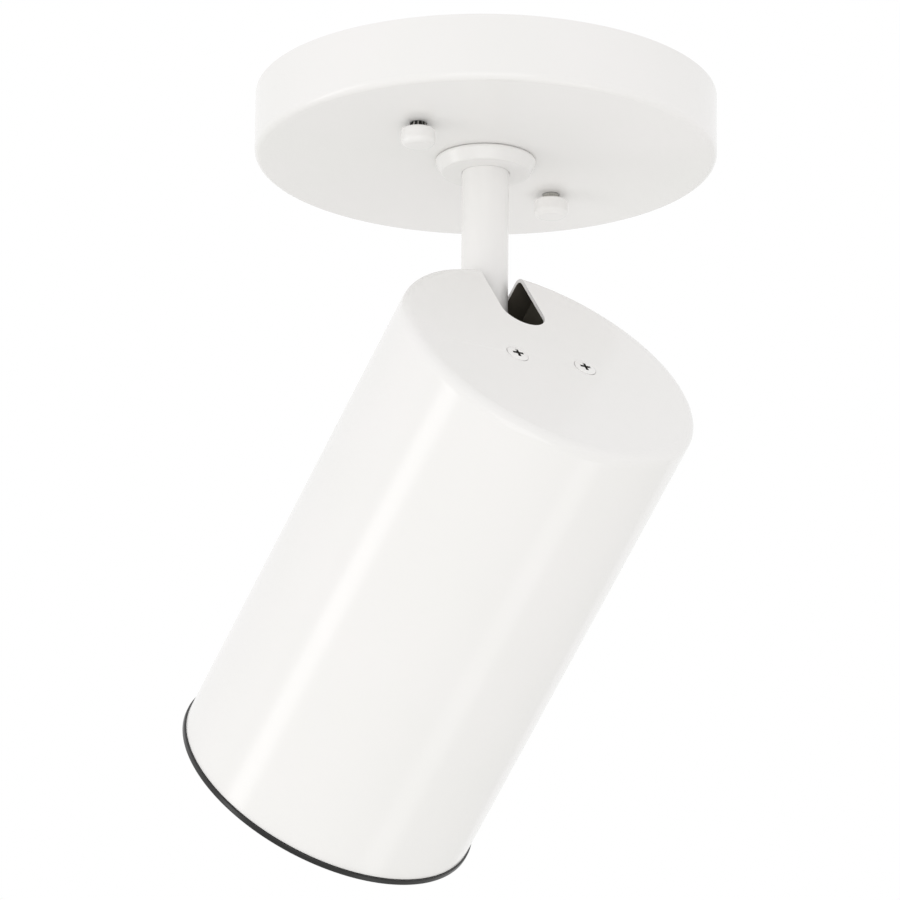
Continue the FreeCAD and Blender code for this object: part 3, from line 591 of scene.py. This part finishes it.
def turned(name: str, outline: Sequence[Corner] | Sequence[Point], steps: int = PLAIN_STEPS,
           shade: bool = True) -> bpy.types.Object:
    """Turns an outline about the vertical axis to a closed piece.

    Args:
        name: The piece's name.
        outline: The outline's corners, or its finished points.
        steps: How many faces go round.
        shade: Whether the piece is shaded smooth.

    Returns:
        The turned piece.
    """
    points = rounded(outline) if isinstance(outline[0], Corner) else outline
    piece = loop_of(name, [Vector((radius, 0.0, level)) for radius, level in points])
    bpy.ops.object.mode_set(mode="EDIT")
    bpy.ops.mesh.select_all(action="SELECT")
    bpy.ops.mesh.spin(steps=steps, angle=math.tau, center=(0, 0, 0), axis=(0, 0, 1))
    bpy.ops.object.mode_set(mode="OBJECT")
    closed_up(piece)
    if shade:
        smoothed(piece)
    return piece


def prism(name: str, outline: Sequence[Point], low: float, high: float,
          place: Matrix | None = None) -> bpy.types.Object:
    """Draws an outline out along Z to a closed prism.

    Args:
        name: The piece's name.
        outline: Its (x, y) points in millimetres.
        low: The level it starts at.
        high: The level it ends at.
        place: Where it is then moved.

    Returns:
        The prism.
    """
    piece = loop_of(name, [Vector((x, y, low)) for x, y in outline], filled=True)
    bpy.ops.object.mode_set(mode="EDIT")
    bpy.ops.mesh.select_all(action="SELECT")
    bpy.ops.mesh.extrude_region_move(
        TRANSFORM_OT_translate={"value": (0.0, 0.0, (high - low) * MM)})
    bpy.ops.object.mode_set(mode="OBJECT")
    closed_up(piece)
    if place:
        piece.data.transform(place)
    return piece


def modified(piece: bpy.types.Object, kind: str, **settings: object) -> None:
    """Adds one modifier to a piece and applies it.

    Args:
        piece: The piece it changes.
        kind: The modifier's type.
        settings: Its settings.
    """
    select_only(piece)
    bpy.ops.object.modifier_add(type=kind)
    modifier = piece.modifiers[-1]
    for name, value in settings.items():
        setattr(modifier, name, value)
    bpy.ops.object.modifier_apply(modifier=modifier.name)


def combined(piece: bpy.types.Object, other: bpy.types.Object, operation: str) -> None:
    """Cuts another shape out of a piece or unites them, and removes the other shape."""
    modified(piece, "BOOLEAN", operation=operation, object=other, solver="EXACT")
    bpy.data.objects.remove(other)


def eased(piece: bpy.types.Object, width_mm: float, segments: int = 2) -> None:
    """Rounds a piece's sharp edges a little, and shades it smooth.

    Args:
        piece: The piece to ease.
        width_mm: The width of the rounding.
        segments: How many faces cross it.
    """
    modified(piece, "BEVEL", width=width_mm * MM, segments=segments, limit_method="ANGLE",
             angle_limit=SMOOTH_ANGLE)
    smoothed(piece)
    modified(piece, "WEIGHTED_NORMAL", keep_sharp=True)


def joined(*pieces: bpy.types.Object) -> bpy.types.Object:
    """Joins pieces into the first one's object.

    Args:
        pieces: The pieces to join.

    Returns:
        The object that holds them.
    """
    select_only(*pieces)
    bpy.ops.object.join()
    return bpy.context.object


def repeated(piece: bpy.types.Object, places: Sequence[Matrix]) -> bpy.types.Object:
    """Sets a copy of a piece at each place, all in one object.

    Args:
        piece: The piece, drawn at the origin.
        places: Where its copies go.

    Returns:
        The object that holds them.
    """
    copies = []
    for place in places:
        copy = bpy.data.objects.new(piece.name + "_copy", piece.data.copy())
        bpy.context.scene.collection.objects.link(copy)
        copy.data.transform(place)
        copies.append(copy)
    name = piece.name
    bpy.data.objects.remove(piece)
    whole = joined(*copies)
    whole.name = whole.data.name = name
    return whole


def refined(node: str, width_mm: float) -> bpy.types.Object:
    """Copies a node's mesh, clears its flat faces and rounds its edges.

    Args:
        node: The node's name.
        width_mm: The width of the rounding.

    Returns:
        The refined piece.
    """
    piece = bpy.data.objects.new(node + "_refined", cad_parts[node].data.copy())
    bpy.context.scene.collection.objects.link(piece)
    select_only(piece)
    bpy.ops.object.mode_set(mode="EDIT")
    bpy.ops.mesh.select_all(action="SELECT")
    bpy.ops.mesh.remove_doubles(threshold=MERGE_DISTANCE)
    bpy.ops.mesh.dissolve_limited(angle_limit=COPLANAR_ANGLE)
    bpy.ops.object.mode_set(mode="OBJECT")
    eased(piece, width_mm)
    return piece


@dataclass(frozen=True)
class Thread:
    """A screw thread in millimetres."""

    root: float
    crest: float
    pitch: float
    low: float
    high: float
    steps: int = 32

    def cut(self, name: str) -> bpy.types.Object:
        """Winds the thread's ridge round its core.

        Args:
            name: The ridge's name.

        Returns:
            The ridge, closed at both ends.
        """
        inside = self.root - 0.1
        profile = [(inside, 0.1), (self.root, 0.1), (self.crest, 0.44), (self.crest, 0.56),
                   (self.root, 0.9), (inside, 0.9)]
        ridge = loop_of(name, [Vector((radius, 0.0, self.low + part * self.pitch))
                               for radius, part in profile])
        turns = int((self.high - self.low) / self.pitch) - 1
        modified(ridge, "SCREW", angle=math.tau, screw_offset=self.pitch * MM, iterations=turns,
                 steps=self.steps, render_steps=self.steps)
        bpy.ops.object.mode_set(mode="EDIT")
        bpy.ops.mesh.select_all(action="SELECT")
        bpy.ops.mesh.fill_holes(sides=len(profile))
        bpy.ops.object.mode_set(mode="OBJECT")
        closed_up(ridge)
        smoothed(ridge)
        return ridge


def along_bar(distance: float) -> Matrix:
    """The place on the crossbar's line at a distance from the pan axis, in millimetres."""
    return Matrix.Translation((distance * MM * math.cos(BAR_ANGLE),
                               distance * MM * math.sin(BAR_ANGLE), 0.0))


# ---- Sub-assemblies


@dataclass
class Assembly:
    """The pieces that ride on one body."""

    body: Body
    place: Matrix = field(default_factory=lambda: Matrix.Identity(4))
    pieces: list[bpy.types.Object] = field(default_factory=list)

    def keep(self, piece: bpy.types.Object, node: str, slot: Slot, *finishes: Finish,
             placed: bool = False) -> bpy.types.Object:
        """Places and dresses a finished piece and lets it stand for its node.

        Args:
            piece: The finished piece.
            node: The node it replaces.
            slot: The record's slot; not used.
            finishes: Its finishes, or none for its node's own.
            placed: Whether its mesh is in the frame's place already.

        Returns:
            The piece.
        """
        if not placed:
            piece.data.transform(self.place)
        if finishes:
            dress(piece, *finishes)
        else:
            dress(piece, NODE_FINISH[node])
        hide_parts(node)
        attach(piece, self.body.value)
        self.pieces.append(piece)
        LOG.info("%s: %s, %d faces", self.body.value, piece.name, len(piece.data.polygons))
        return piece

    def refine(self, nodes: dict[str, tuple[float, Slot]]) -> None:
        """Refines the nodes whose shape is right but whose edges are bare.

        Args:
            nodes: The width of each node's rounding in millimetres, and its slot.
        """
        for node, (width, slot) in nodes.items():
            self.keep(refined(node, width), node, slot, placed=True)


def split_faces(piece: bpy.types.Object, chosen: Callable[[Vector], bool]) -> None:
    """Gives a piece's second material slot to the faces whose centre is chosen.

    Args:
        piece: The piece.
        chosen: Tells from a face's centre in millimetres whether it changes.
    """
    for face in piece.data.polygons:
        if chosen(face.center / MM):
            face.material_index = 1


@dataclass
class Canopy(Assembly):
    """The drawn dish on the ceiling with its crossbar, studs and nuts."""

    body: Body = Body.CANOPY
    radius: float = 63.5
    underside: float = -18.2
    wall: float = 1.0
    corner: float = 1.8
    rim_edge: float = 0.15
    bearing: float = 5.25
    bearing_edge: float = 0.12
    stud_reach: float = 33.6
    stud_hole: float = 2.4
    stud_core: float = 1.7
    stud_crest: float = 2.05
    stud_pitch: float = 0.79
    stud_end: float = -23.65
    washer_bore: float = 2.1
    washer_radius: float = 2.9
    washer_teeth: int = 60
    tooth_depth: float = 0.1
    highlight_tooth: int = 5
    nut_radius: float = 4.65
    nut_bore: float = 2.1
    nut_top: float = -20.0
    nut_bottom: float = -24.7
    nut_wall: float = 1.0
    earth_reach: float = 18.0
    earth_slot_half: float = 0.6
    earth_slot_foot: float = -3.9

    def dish(self) -> None:
        """Draws the dish with its centre hole and the holes for the studs."""
        inner, floor = self.radius - self.wall, self.underside + self.wall
        dish = turned("canopy_drawn_dish", [
            Corner(self.bearing, self.underside, self.bearing_edge),
            Corner(self.radius, self.underside, self.corner),
            Corner(self.radius, 0.0, self.rim_edge), Corner(inner, 0.0, self.rim_edge),
            Corner(inner, floor, self.corner - self.wall),
            Corner(self.bearing, floor, self.bearing_edge)], FINE_STEPS, shade=False)
        low, high = self.underside - PAST, floor + PAST
        for side in (-1, 1):
            drill = turned("stud_drill", [(0.0, low), (self.stud_hole, low),
                                          (self.stud_hole, high), (0.0, high)],
                           DRILL_STEPS, shade=False)
            drill.data.transform(along_bar(side * self.stud_reach))
            combined(dish, drill, "DIFFERENCE")
        eased(dish, 0.06)
        self.keep(dish, "canopy_dish", Slot.WHITE_PAINT)

    def studs(self) -> None:
        """Turns the studs with their rolled threads."""
        end, core = self.stud_end, self.stud_core
        stud = turned("threaded_studs", [Corner(0.0, end), Corner(core, end, 0.3),
                                         Corner(core, 0.0, 0.3), Corner(0.0, 0.0)], DRILL_STEPS)
        ridge = Thread(core, self.stud_crest, self.stud_pitch, end + 0.15, -0.1).cut("stud_ridge")
        both = repeated(joined(stud, ridge), self.stud_places())
        self.keep(both, "crossbar_studs", Slot.ZINC_STEEL)

    def washers(self) -> None:
        """Cuts the dark coned washers with teeth; the right one is pale grey as a painted shadow
        arc.

        Every fifth tooth of the other one is painted pale as highlight streaks over its nut.
        """
        teeth, bore, wide = self.washer_teeth, self.washer_bore, self.washer_radius
        low, high = self.nut_top, self.underside
        washer = turned("toothed_washers", [
            (bore, low), (wide, low), (wide - 0.2, low + 0.5), (wide - 0.6, low + 1.2),
            (bore + 0.05, high), (bore, high)], teeth, shade=False)
        for vertex in washer.data.vertices:
            flat = vertex.co.xy
            index = round(math.atan2(flat.y, flat.x) / math.tau * teeth)
            if flat.length > (wide - 0.6) * MM and index % 2:
                vertex.co.xy = flat * (1 - self.tooth_depth)
        both = repeated(washer, self.stud_places())
        left = along_bar(-self.stud_reach).to_translation() / MM
        # The right washer and every fifth left tooth take the pale fibre: painted light and shade.
        split_faces(both, lambda at: at.x > 0.0 or round(
            math.atan2(at.y - left.y, at.x - left.x) / math.tau * teeth + 0.5)
            % self.highlight_tooth == 0)
        self.keep(both, "stud_washers", Slot.BLACK_FIBRE, BLACK_FIBRE_AND_SHADE, PAINTED_LIGHT_SHADE_FIBRE)

    def nuts(self) -> None:
        """Turns the white cap nuts under the canopy."""
        low, high, ceiling = self.nut_bottom, self.nut_top, self.nut_bottom + self.nut_wall
        nut = turned("canopy_cap_nuts", [
            Corner(0.0, low), Corner(self.nut_radius, low, 1.5),
            Corner(self.nut_radius, high, 0.6), Corner(self.nut_bore, high, 0.15),
            Corner(self.nut_bore, ceiling), Corner(0.0, ceiling)])
        self.keep(repeated(nut, self.stud_places()), "cap_nuts", Slot.WHITE_PAINT)

    def earth_screw(self) -> None:
        """Slots the earth screw's head."""
        screw = refined("ground_screw", 0.15)
        half, reach = self.earth_slot_half, 6.0
        slot = prism("driver_slot", [(-reach, -half), (reach, -half), (reach, half),
                                     (-reach, half)], -reach, self.earth_slot_foot,
                     along_bar(self.earth_reach) @ Matrix.Rotation(BAR_ANGLE + 0.6, 4, "Z"))
        combined(screw, slot, "DIFFERENCE")
        smoothed(screw)
        self.keep(screw, "ground_screw", Slot.GREEN_PAINT, placed=True)

    def stud_places(self) -> list[Matrix]:
        """Where the two studs stand."""
        return [along_bar(-self.stud_reach), along_bar(self.stud_reach)]

    def build(self) -> None:
        """Builds the canopy's pieces."""
        self.dish()
        self.studs()
        self.washers()
        self.nuts()
        self.earth_screw()
        self.refine({"crossbar": (0.25, Slot.ZINC_STEEL), "stud_locknuts": (0.15, Slot.ZINC_STEEL),
                     "pan_friction_washer": (0.1, Slot.RED_FIBRE),
                     "pan_stop_pin": (0.2, Slot.ZINC_STEEL)})


@dataclass
class Stem(Assembly):
    """The turning stem under the canopy, from its nipple to the knuckle."""

    body: Body = Body.STEM
    radius: float = 6.45
    bore: float = 5.2
    top: float = -20.65
    end: float = -70.9
    collar_top: float = -18.25
    collar_foot: float = -22.25
    collar_wide: float = 14.4
    collar_narrow: float = 12.2
    tube_clearance: float = 0.05
    nipple_bore: float = 4.1
    nipple_core: float = 4.7
    nipple_crest: float = 5.15
    nipple_pitch: float = 0.94
    nipple_top: float = -8.5
    nipple_foot: float = -32.65

    def collar(self) -> None:
        """Turns the tapered collar."""
        seat, foot, upper = self.radius + self.tube_clearance, self.collar_foot, self.collar_top
        collar = turned("tapered_collar", [
            Corner(self.bore, upper, 0.12), Corner(self.bore, self.top),
            Corner(seat, self.top), Corner(seat, foot, 0.12),
            Corner(self.collar_narrow, foot, 0.5), Corner(self.collar_wide, upper, 0.8)],
            FINE_STEPS)
        self.keep(collar, "stem_collar", Slot.WHITE_PAINT)

    def tube(self) -> None:
        """Turns the tube with its broken edges."""
        tube = turned("painted_tube", [
            Corner(self.bore, self.top, 0.2), Corner(self.bore, self.end, 0.2),
            Corner(self.radius, self.end, 0.25), Corner(self.radius, self.top, 0.2)], FINE_STEPS)
        self.keep(tube, "stem_tube", Slot.WHITE_PAINT)

    def nipple(self) -> None:
        """Turns the hollow nipple with its running thread."""
        bore, core, foot, top = self.nipple_bore, self.nipple_core, self.nipple_foot, self.nipple_top
        nipple = turned("threaded_nipple", [
            Corner(bore, foot, 0.1), Corner(core, foot, 0.15), Corner(core, top, 0.15),
            Corner(bore, top, 0.1)])
        ridge = Thread(core, self.nipple_crest, self.nipple_pitch, foot + 0.05, top - 0.1,
                       64).cut("nipple_ridge")
        self.keep(joined(nipple, ridge), "stem_nipple", Slot.ZINC_STEEL)

    def build(self) -> None:
        """Builds the stem's pieces."""
        self.collar()
        self.tube()
        self.nipple()
        self.refine({"pan_stop_washer": (0.15, Slot.ZINC_STEEL),
                     "pan_spring_washer": (0.1, Slot.ZINC_STEEL),
                     "nipple_locknut": (0.25, Slot.ZINC_STEEL),
                     "wire_bushing": (0.1, Slot.BLACK_PLASTIC),
                     "swivel_knuckle": (0.4, Slot.DIE_CAST)})


REST_TILT = math.radians(51.1)
HEAD_PLACE = (Matrix.Translation((0.0, 0.0, -82.9 * MM)) @ Matrix.Rotation(REST_TILT, 4, "X")
              @ Matrix.Translation((0.0, -23.5 * MM, 24.8 * MM)))


@dataclass
class Head(Assembly):
    """The slotted cylinder with its lamp and baffle, drawn hanging with its crown at z = 0."""

    body: Body = Body.HEAD
    place: Matrix = field(default_factory=lambda: HEAD_PLACE)
    radius: float = 43.2
    bore: float = 42.2
    length: float = 145.0
    wall: float = 1.0
    crown_round: float = 3.0
    pivot_y: float = 23.5
    pivot_depth: float = 24.8
    slot_half: float = 6.7
    screw_x: float = 10.7
    screw_hole: float = 1.85
    screw_head: float = 3.2
    screw_dome: float = 0.3
    screw_core: float = 1.42
    screw_crest: float = 1.7
    screw_end: float = -24.5
    recess_arm: float = 1.65
    recess_half: float = 0.44
    bulb_neck: float = 12.7
    bulb_wide: float = 31.75
    bulb_wall: float = 1.0
    bulb_front: float = 125.4
    dome_height: float = 7.9
    mouth: float = 39.8
    aperture: float = -146.7
    flange: float = 43.75
    ridge_end: float = 34.84
    ridges: int = 8
    ridge_length: float = 3.5
    ridge_depth: float = 1.1

    def slot_cutter(self) -> bpy.types.Object:
        """Draws the space the stem sweeps, over the crown and down the back of the wall.

        Returns:
            The cutter.
        """
        half, past = self.slot_half, self.radius + PAST
        end = Vector((0.0, self.pivot_y))
        round_end = swept(end, end + Vector((-half, 0.0)), end + Vector((0.0, -half)), 24)
        round_end += swept(end, end + Vector((0.0, -half)), end + Vector((half, 0.0)), 24)[1:]
        over = prism("crown_cutter", [*round_end, (half, past), (-half, past)], -3.5, 1.0)
        foot = Vector((0.0, -self.pivot_depth))
        round_foot = swept(foot, foot + Vector((-half, 0.0)), foot + Vector((0.0, -half)), 24)
        round_foot += swept(foot, foot + Vector((0.0, -half)), foot + Vector((half, 0.0)),
                            24)[1:]
        inner = math.sqrt(self.bore ** 2 - half ** 2) - PAST
        down = prism("wall_cutter", [*round_foot, (half, 1.0), (-half, 1.0)], -past, -inner,
                     Matrix.Rotation(math.pi / 2, 4, "X"))
        combined(over, down, "UNION")
        return over

    def shell(self) -> None:
        """Draws the deep cup and cuts its slot and screw holes."""
        shell = turned("slotted_shell", [
            Corner(0.0, 0.0), Corner(self.radius, 0.0, self.crown_round),
            Corner(self.radius, -self.length, 0.15), Corner(self.bore, -self.length, 0.15),
            Corner(self.bore, -self.wall, self.crown_round - self.wall),
            Corner(0.0, -self.wall)], FINE_STEPS, shade=False)
        combined(shell, self.slot_cutter(), "DIFFERENCE")
        for side in (-1, 1):
            sink = turned("countersink", [(0.0, 0.5), (3.82, 0.5), (self.screw_hole, -1.6),
                                          (self.screw_hole, -3.0), (0.0, -3.0)], 64, shade=False)
            sink.data.transform(Matrix.Translation((side * self.screw_x * MM, 0.0, 0.0)))
            combined(shell, sink, "DIFFERENCE")
        eased(shell, 0.1)
        # The inside faces take painted shade, so the slot looks deep and unlit.
        split_faces(shell, lambda at: at.xy.length < self.bore + 0.02
                    and PAST - self.length < at.z < 0.01 - self.wall)
        self.keep(shell, "head_shell", Slot.WHITE_PAINT, WHITE_ENAMEL, INSIDE_PAINTED_SHADE)

    def screws(self) -> None:
        """Turns the crown screws and cuts their cross recesses."""
        dome, core, end = self.screw_dome, self.screw_core, self.screw_end
        screw = turned("cross_recess_screws", [
            Corner(0.0, dome), Corner(1.75, dome, 0.9), Corner(self.screw_head, 0.0, 0.12),
            Corner(core, -1.7), Corner(core, end, 0.3), Corner(0.0, end)], 96, shade=False)
        arm, half = self.recess_arm, self.recess_half
        cross = [(half, arm), (-half, arm), (-half, half), (-arm, half), (-arm, -half),
                 (-half, -half), (-half, -arm), (half, -arm), (half, -half), (arm, -half),
                 (arm, half), (half, half)]
        combined(screw, prism("driver_cross", cross, -1.1, 1.0), "DIFFERENCE")
        eased(screw, 0.06)
        ridge = Thread(core, self.screw_crest, 0.6, end + 0.2, -2.0, 24).cut("screw_ridge")
        both = repeated(joined(screw, ridge),
                        [Matrix.Translation((side * self.screw_x * MM, 0.0, 0.0))
                         for side in (-1, 1)])
        # The cross recess faces take painted shade: dull dark grey where shadow falls.
        split_faces(both, lambda at: math.hypot(abs(at.x) - self.screw_x, at.y) < arm
                    and -1.3 < at.z < 0.24)
        self.keep(both, "crown_screws", Slot.WHITE_PAINT, WHITE_ENAMEL, RECESS_PAINTED_SHADE)

    def bulb(self) -> None:
        """Blows the reflector bulb, etched at its face and silvered behind it."""
        def flare(neck: float, wide: float) -> list[Point]:
            """The curve from the neck to the widest ring."""
            middle = neck + (wide - neck) * 0.42
            return arc_through((neck, -58.5), (middle, -83.95), (wide, -109.4), 24)

        def face(wide: float, front: float) -> list[Point]:
            """The shallow dome in front of the widest ring."""
            edge, high = wide - 1.9, self.dome_height
            dome = (edge ** 2 + high ** 2) / (2 * high)
            middle = -front + dome - math.sqrt(dome ** 2 - (edge / 2) ** 2)
            return arc_through((edge, high - front), (edge / 2, middle), (0.0, -front), 16)

        neck, wide, front, wall = self.bulb_neck, self.bulb_wide, self.bulb_front, self.bulb_wall
        outside = [(neck, -48.5), *flare(neck, wide), (wide, -113.6), (wide - 0.15, -114.9),
                   *face(wide, front)]
        inside = [(neck - wall, -48.5), *flare(neck - wall, wide - wall), (wide - wall, -113.6),
                  *face(wide - wall, front - wall)]
        bulb = turned("reflector_bulb", outside + inside[::-1], FINE_STEPS)
        split_faces(bulb, lambda at: at.z > -108.0)
        self.keep(bulb, "lamp_bulb", Slot.LAMP_GLASS, ETCHED_GLASS, SILVERED_GLASS)

    def stepped_baffle(self) -> None:
        """Turns the lip and the stepped rings behind it."""
        last, edge, back = self.ridge_end, 0.12, -116.1
        plug = self.bore - 0.1
        inner = [Corner(self.mouth, self.aperture, 0.5)]
        for step in range(self.ridges):
            ridge = self.mouth - step * (self.mouth - last) / self.ridges
            level = self.ridge_length * step - self.length
            inner.append(Corner(ridge, level, edge))
            inner.append(Corner(ridge + self.ridge_depth, level + self.ridge_length, edge))
        outer = [Corner(last, back - 0.9, edge), Corner(last, back, edge),
                 Corner(last + 2.0, back, edge), Corner(plug - 0.45, -137.1),
                 Corner(plug, -138.0), Corner(plug, -self.length),
                 Corner(self.flange, -self.length, 0.25), Corner(self.flange, self.aperture, 0.5)]
        self.keep(turned("stepped_black_baffle", inner + outer, FINE_STEPS), "baffle",
                  Slot.BLACK_PAINT)

    def build(self) -> None:
        """Builds the head's pieces."""
        self.shell()
        self.screws()
        self.bulb()
        self.stepped_baffle()
        # The pivot bracket's finish is painted shade: dull dark, so it reads as shadow in the slot.
        self.refine({"pivot_bracket": (0.2, Slot.BLACK_PAINT), "pivot_bolt": (0.2, Slot.ZINC_STEEL),
                     "pivot_friction_washers": (0.1, Slot.RED_FIBRE),
                     "pivot_spring_washer": (0.08, Slot.ZINC_STEEL),
                     "pivot_nut": (0.15, Slot.ZINC_STEEL),
                     "socket_standoffs": (0.2, Slot.ZINC_STEEL),
                     "socket_body": (0.4, Slot.PORCELAIN),
                     "socket_screw_shell": (0.1, Slot.BRASS), "socket_contact": (0.1, Slot.BRASS),
                     "lamp_cap": (0.1, Slot.LAMP_ALUMINIUM)})


# ---- Studio


@dataclass(frozen=True)
class Softbox:
    """A soft rectangular lamp that faces the head, placed by its direction from it."""

    name: str
    direction: tuple[float, float, float]
    distance: float
    width: float
    height: float
    long_side: tuple[float, float, float]
    radiance: float

    def hang(self, target: Vector) -> None:
        """Adds the lamp to the scene.

        Args:
            target: The point it faces, in metres.
        """
        back = Vector(self.direction).normalized()
        upright = Vector(self.long_side)
        upright = (upright - back * upright.dot(back)).normalized()
        across = upright.cross(back)
        bpy.ops.object.light_add(type="AREA")
        lamp = bpy.context.object
        lamp.name = lamp.data.name = self.name
        turn = Matrix((across, upright, back)).transposed().to_4x4()
        lamp.matrix_world = Matrix.Translation(target + back * self.distance) @ turn
        lamp.data.shape = "RECTANGLE"
        lamp.data.size, lamp.data.size_y = self.width, self.height
        lamp.data.energy = self.radiance * math.pi * self.width * self.height
        LOG.info("lamp %s, %.1f W", self.name, lamp.data.energy)


@dataclass
class Studio:
    """The camera, lamps, world and floor round the object."""

    eye: Vector = field(default_factory=lambda: Vector((-896.677, -1430.5, -633.305)) * MM)
    right: Vector = field(default_factory=lambda: Vector((0.848397, -0.529265, 0.010034)))
    up: Vector = field(default_factory=lambda: Vector((-0.167041, -0.249678, 0.953813)))
    lens: float = 261.45
    floor_level: float = -2.6
    floor_size: float = 80.0
    ambient: float = 0.88
    target: Vector = field(default_factory=lambda: Vector((0.0, 0.01, -0.12)))
    lamps: tuple[Softbox, ...] = (
        Softbox("strip_left", (-0.89, 0.34, -0.30), 1.5, 0.34, 1.3, (0.0, 0.778, -0.628), 1.9),
        Softbox("glow_low", (0.37, -0.11, -0.92), 1.9, 0.5, 1.2, (0.0, 0.778, -0.628), 0.8),
        Softbox("fill_front", (-0.45, -0.75, -0.35), 2.4, 1.8, 1.8, (0.0, 0.0, 1.0), 0.9),
    )

    def camera(self) -> None:
        """Sets the camera at the photograph's viewing angle."""
        bpy.ops.object.camera_add()
        camera = bpy.context.object
        camera.name = "photo_camera"
        back = self.right.cross(self.up).normalized()
        turn = Matrix((self.right, self.up, back)).transposed().to_4x4()
        camera.matrix_world = Matrix.Translation(self.eye) @ turn
        camera.data.sensor_fit = "HORIZONTAL"
        camera.data.sensor_width = 36.0
        camera.data.lens = self.lens
        bpy.context.scene.camera = camera

    def world(self) -> None:
        """Lights the scene evenly, with a white background that gloss and glass also show."""
        world = bpy.data.worlds.new("studio_air")
        bpy.context.scene.world = world
        world.use_nodes = True
        tree = world.node_tree
        tree.nodes.clear()
        path = add_node(tree, "ShaderNodeLightPath")
        shown = add_node(tree, "ShaderNodeMath", {0: path.outputs["Is Camera Ray"],
                                                  1: path.outputs["Is Glossy Ray"]},
                         operation="MAXIMUM").outputs[0]
        shown = add_node(tree, "ShaderNodeMath",
                         {0: shown, 1: path.outputs["Is Transmission Ray"]},
                         operation="MAXIMUM").outputs[0]
        strength = add_node(tree, "ShaderNodeMapRange", {"Value": shown, "To Min": self.ambient,
                                                         "To Max": 1.0}).outputs[0]
        air = add_node(tree, "ShaderNodeBackground",
                       {"Color": (1.0, 1.0, 1.0, 1.0), "Strength": strength})
        add_node(tree, "ShaderNodeOutputWorld", {"Surface": air.outputs["Background"]})

    def floor(self) -> None:
        """Lays the pale floor a room's height under the ceiling."""
        bpy.ops.mesh.primitive_plane_add(size=self.floor_size, location=(0, 0, 0))
        floor = bpy.context.object
        floor.name = "pale_floor"
        floor.data.transform(Matrix.Translation((0.0, 0.0, self.floor_level)))
        dress(floor, Pressed("pale_floor_paint", "#F5F5F4", "#F4F4F2", 0.85,
                             speck_width_mm=25.0, grain_height_mm=0.05))

    def build(self) -> None:
        """Sets up the whole studio."""
        self.camera()
        self.world()
        self.floor()
        for lamp in self.lamps:
            lamp.hang(self.target)
        bpy.context.scene.view_settings.view_transform = "Standard"


def main() -> None:
    """Dresses the construction and sets up the studio."""
    logging.basicConfig(level=logging.INFO, format="%(message)s")
    for node, finish in NODE_FINISH.items():
        dress(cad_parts[node], finish)
    for assembly in (Canopy(), Stem(), Head()):
        assembly.build()
    Studio().build()


if __name__ == "__main__":
    main()
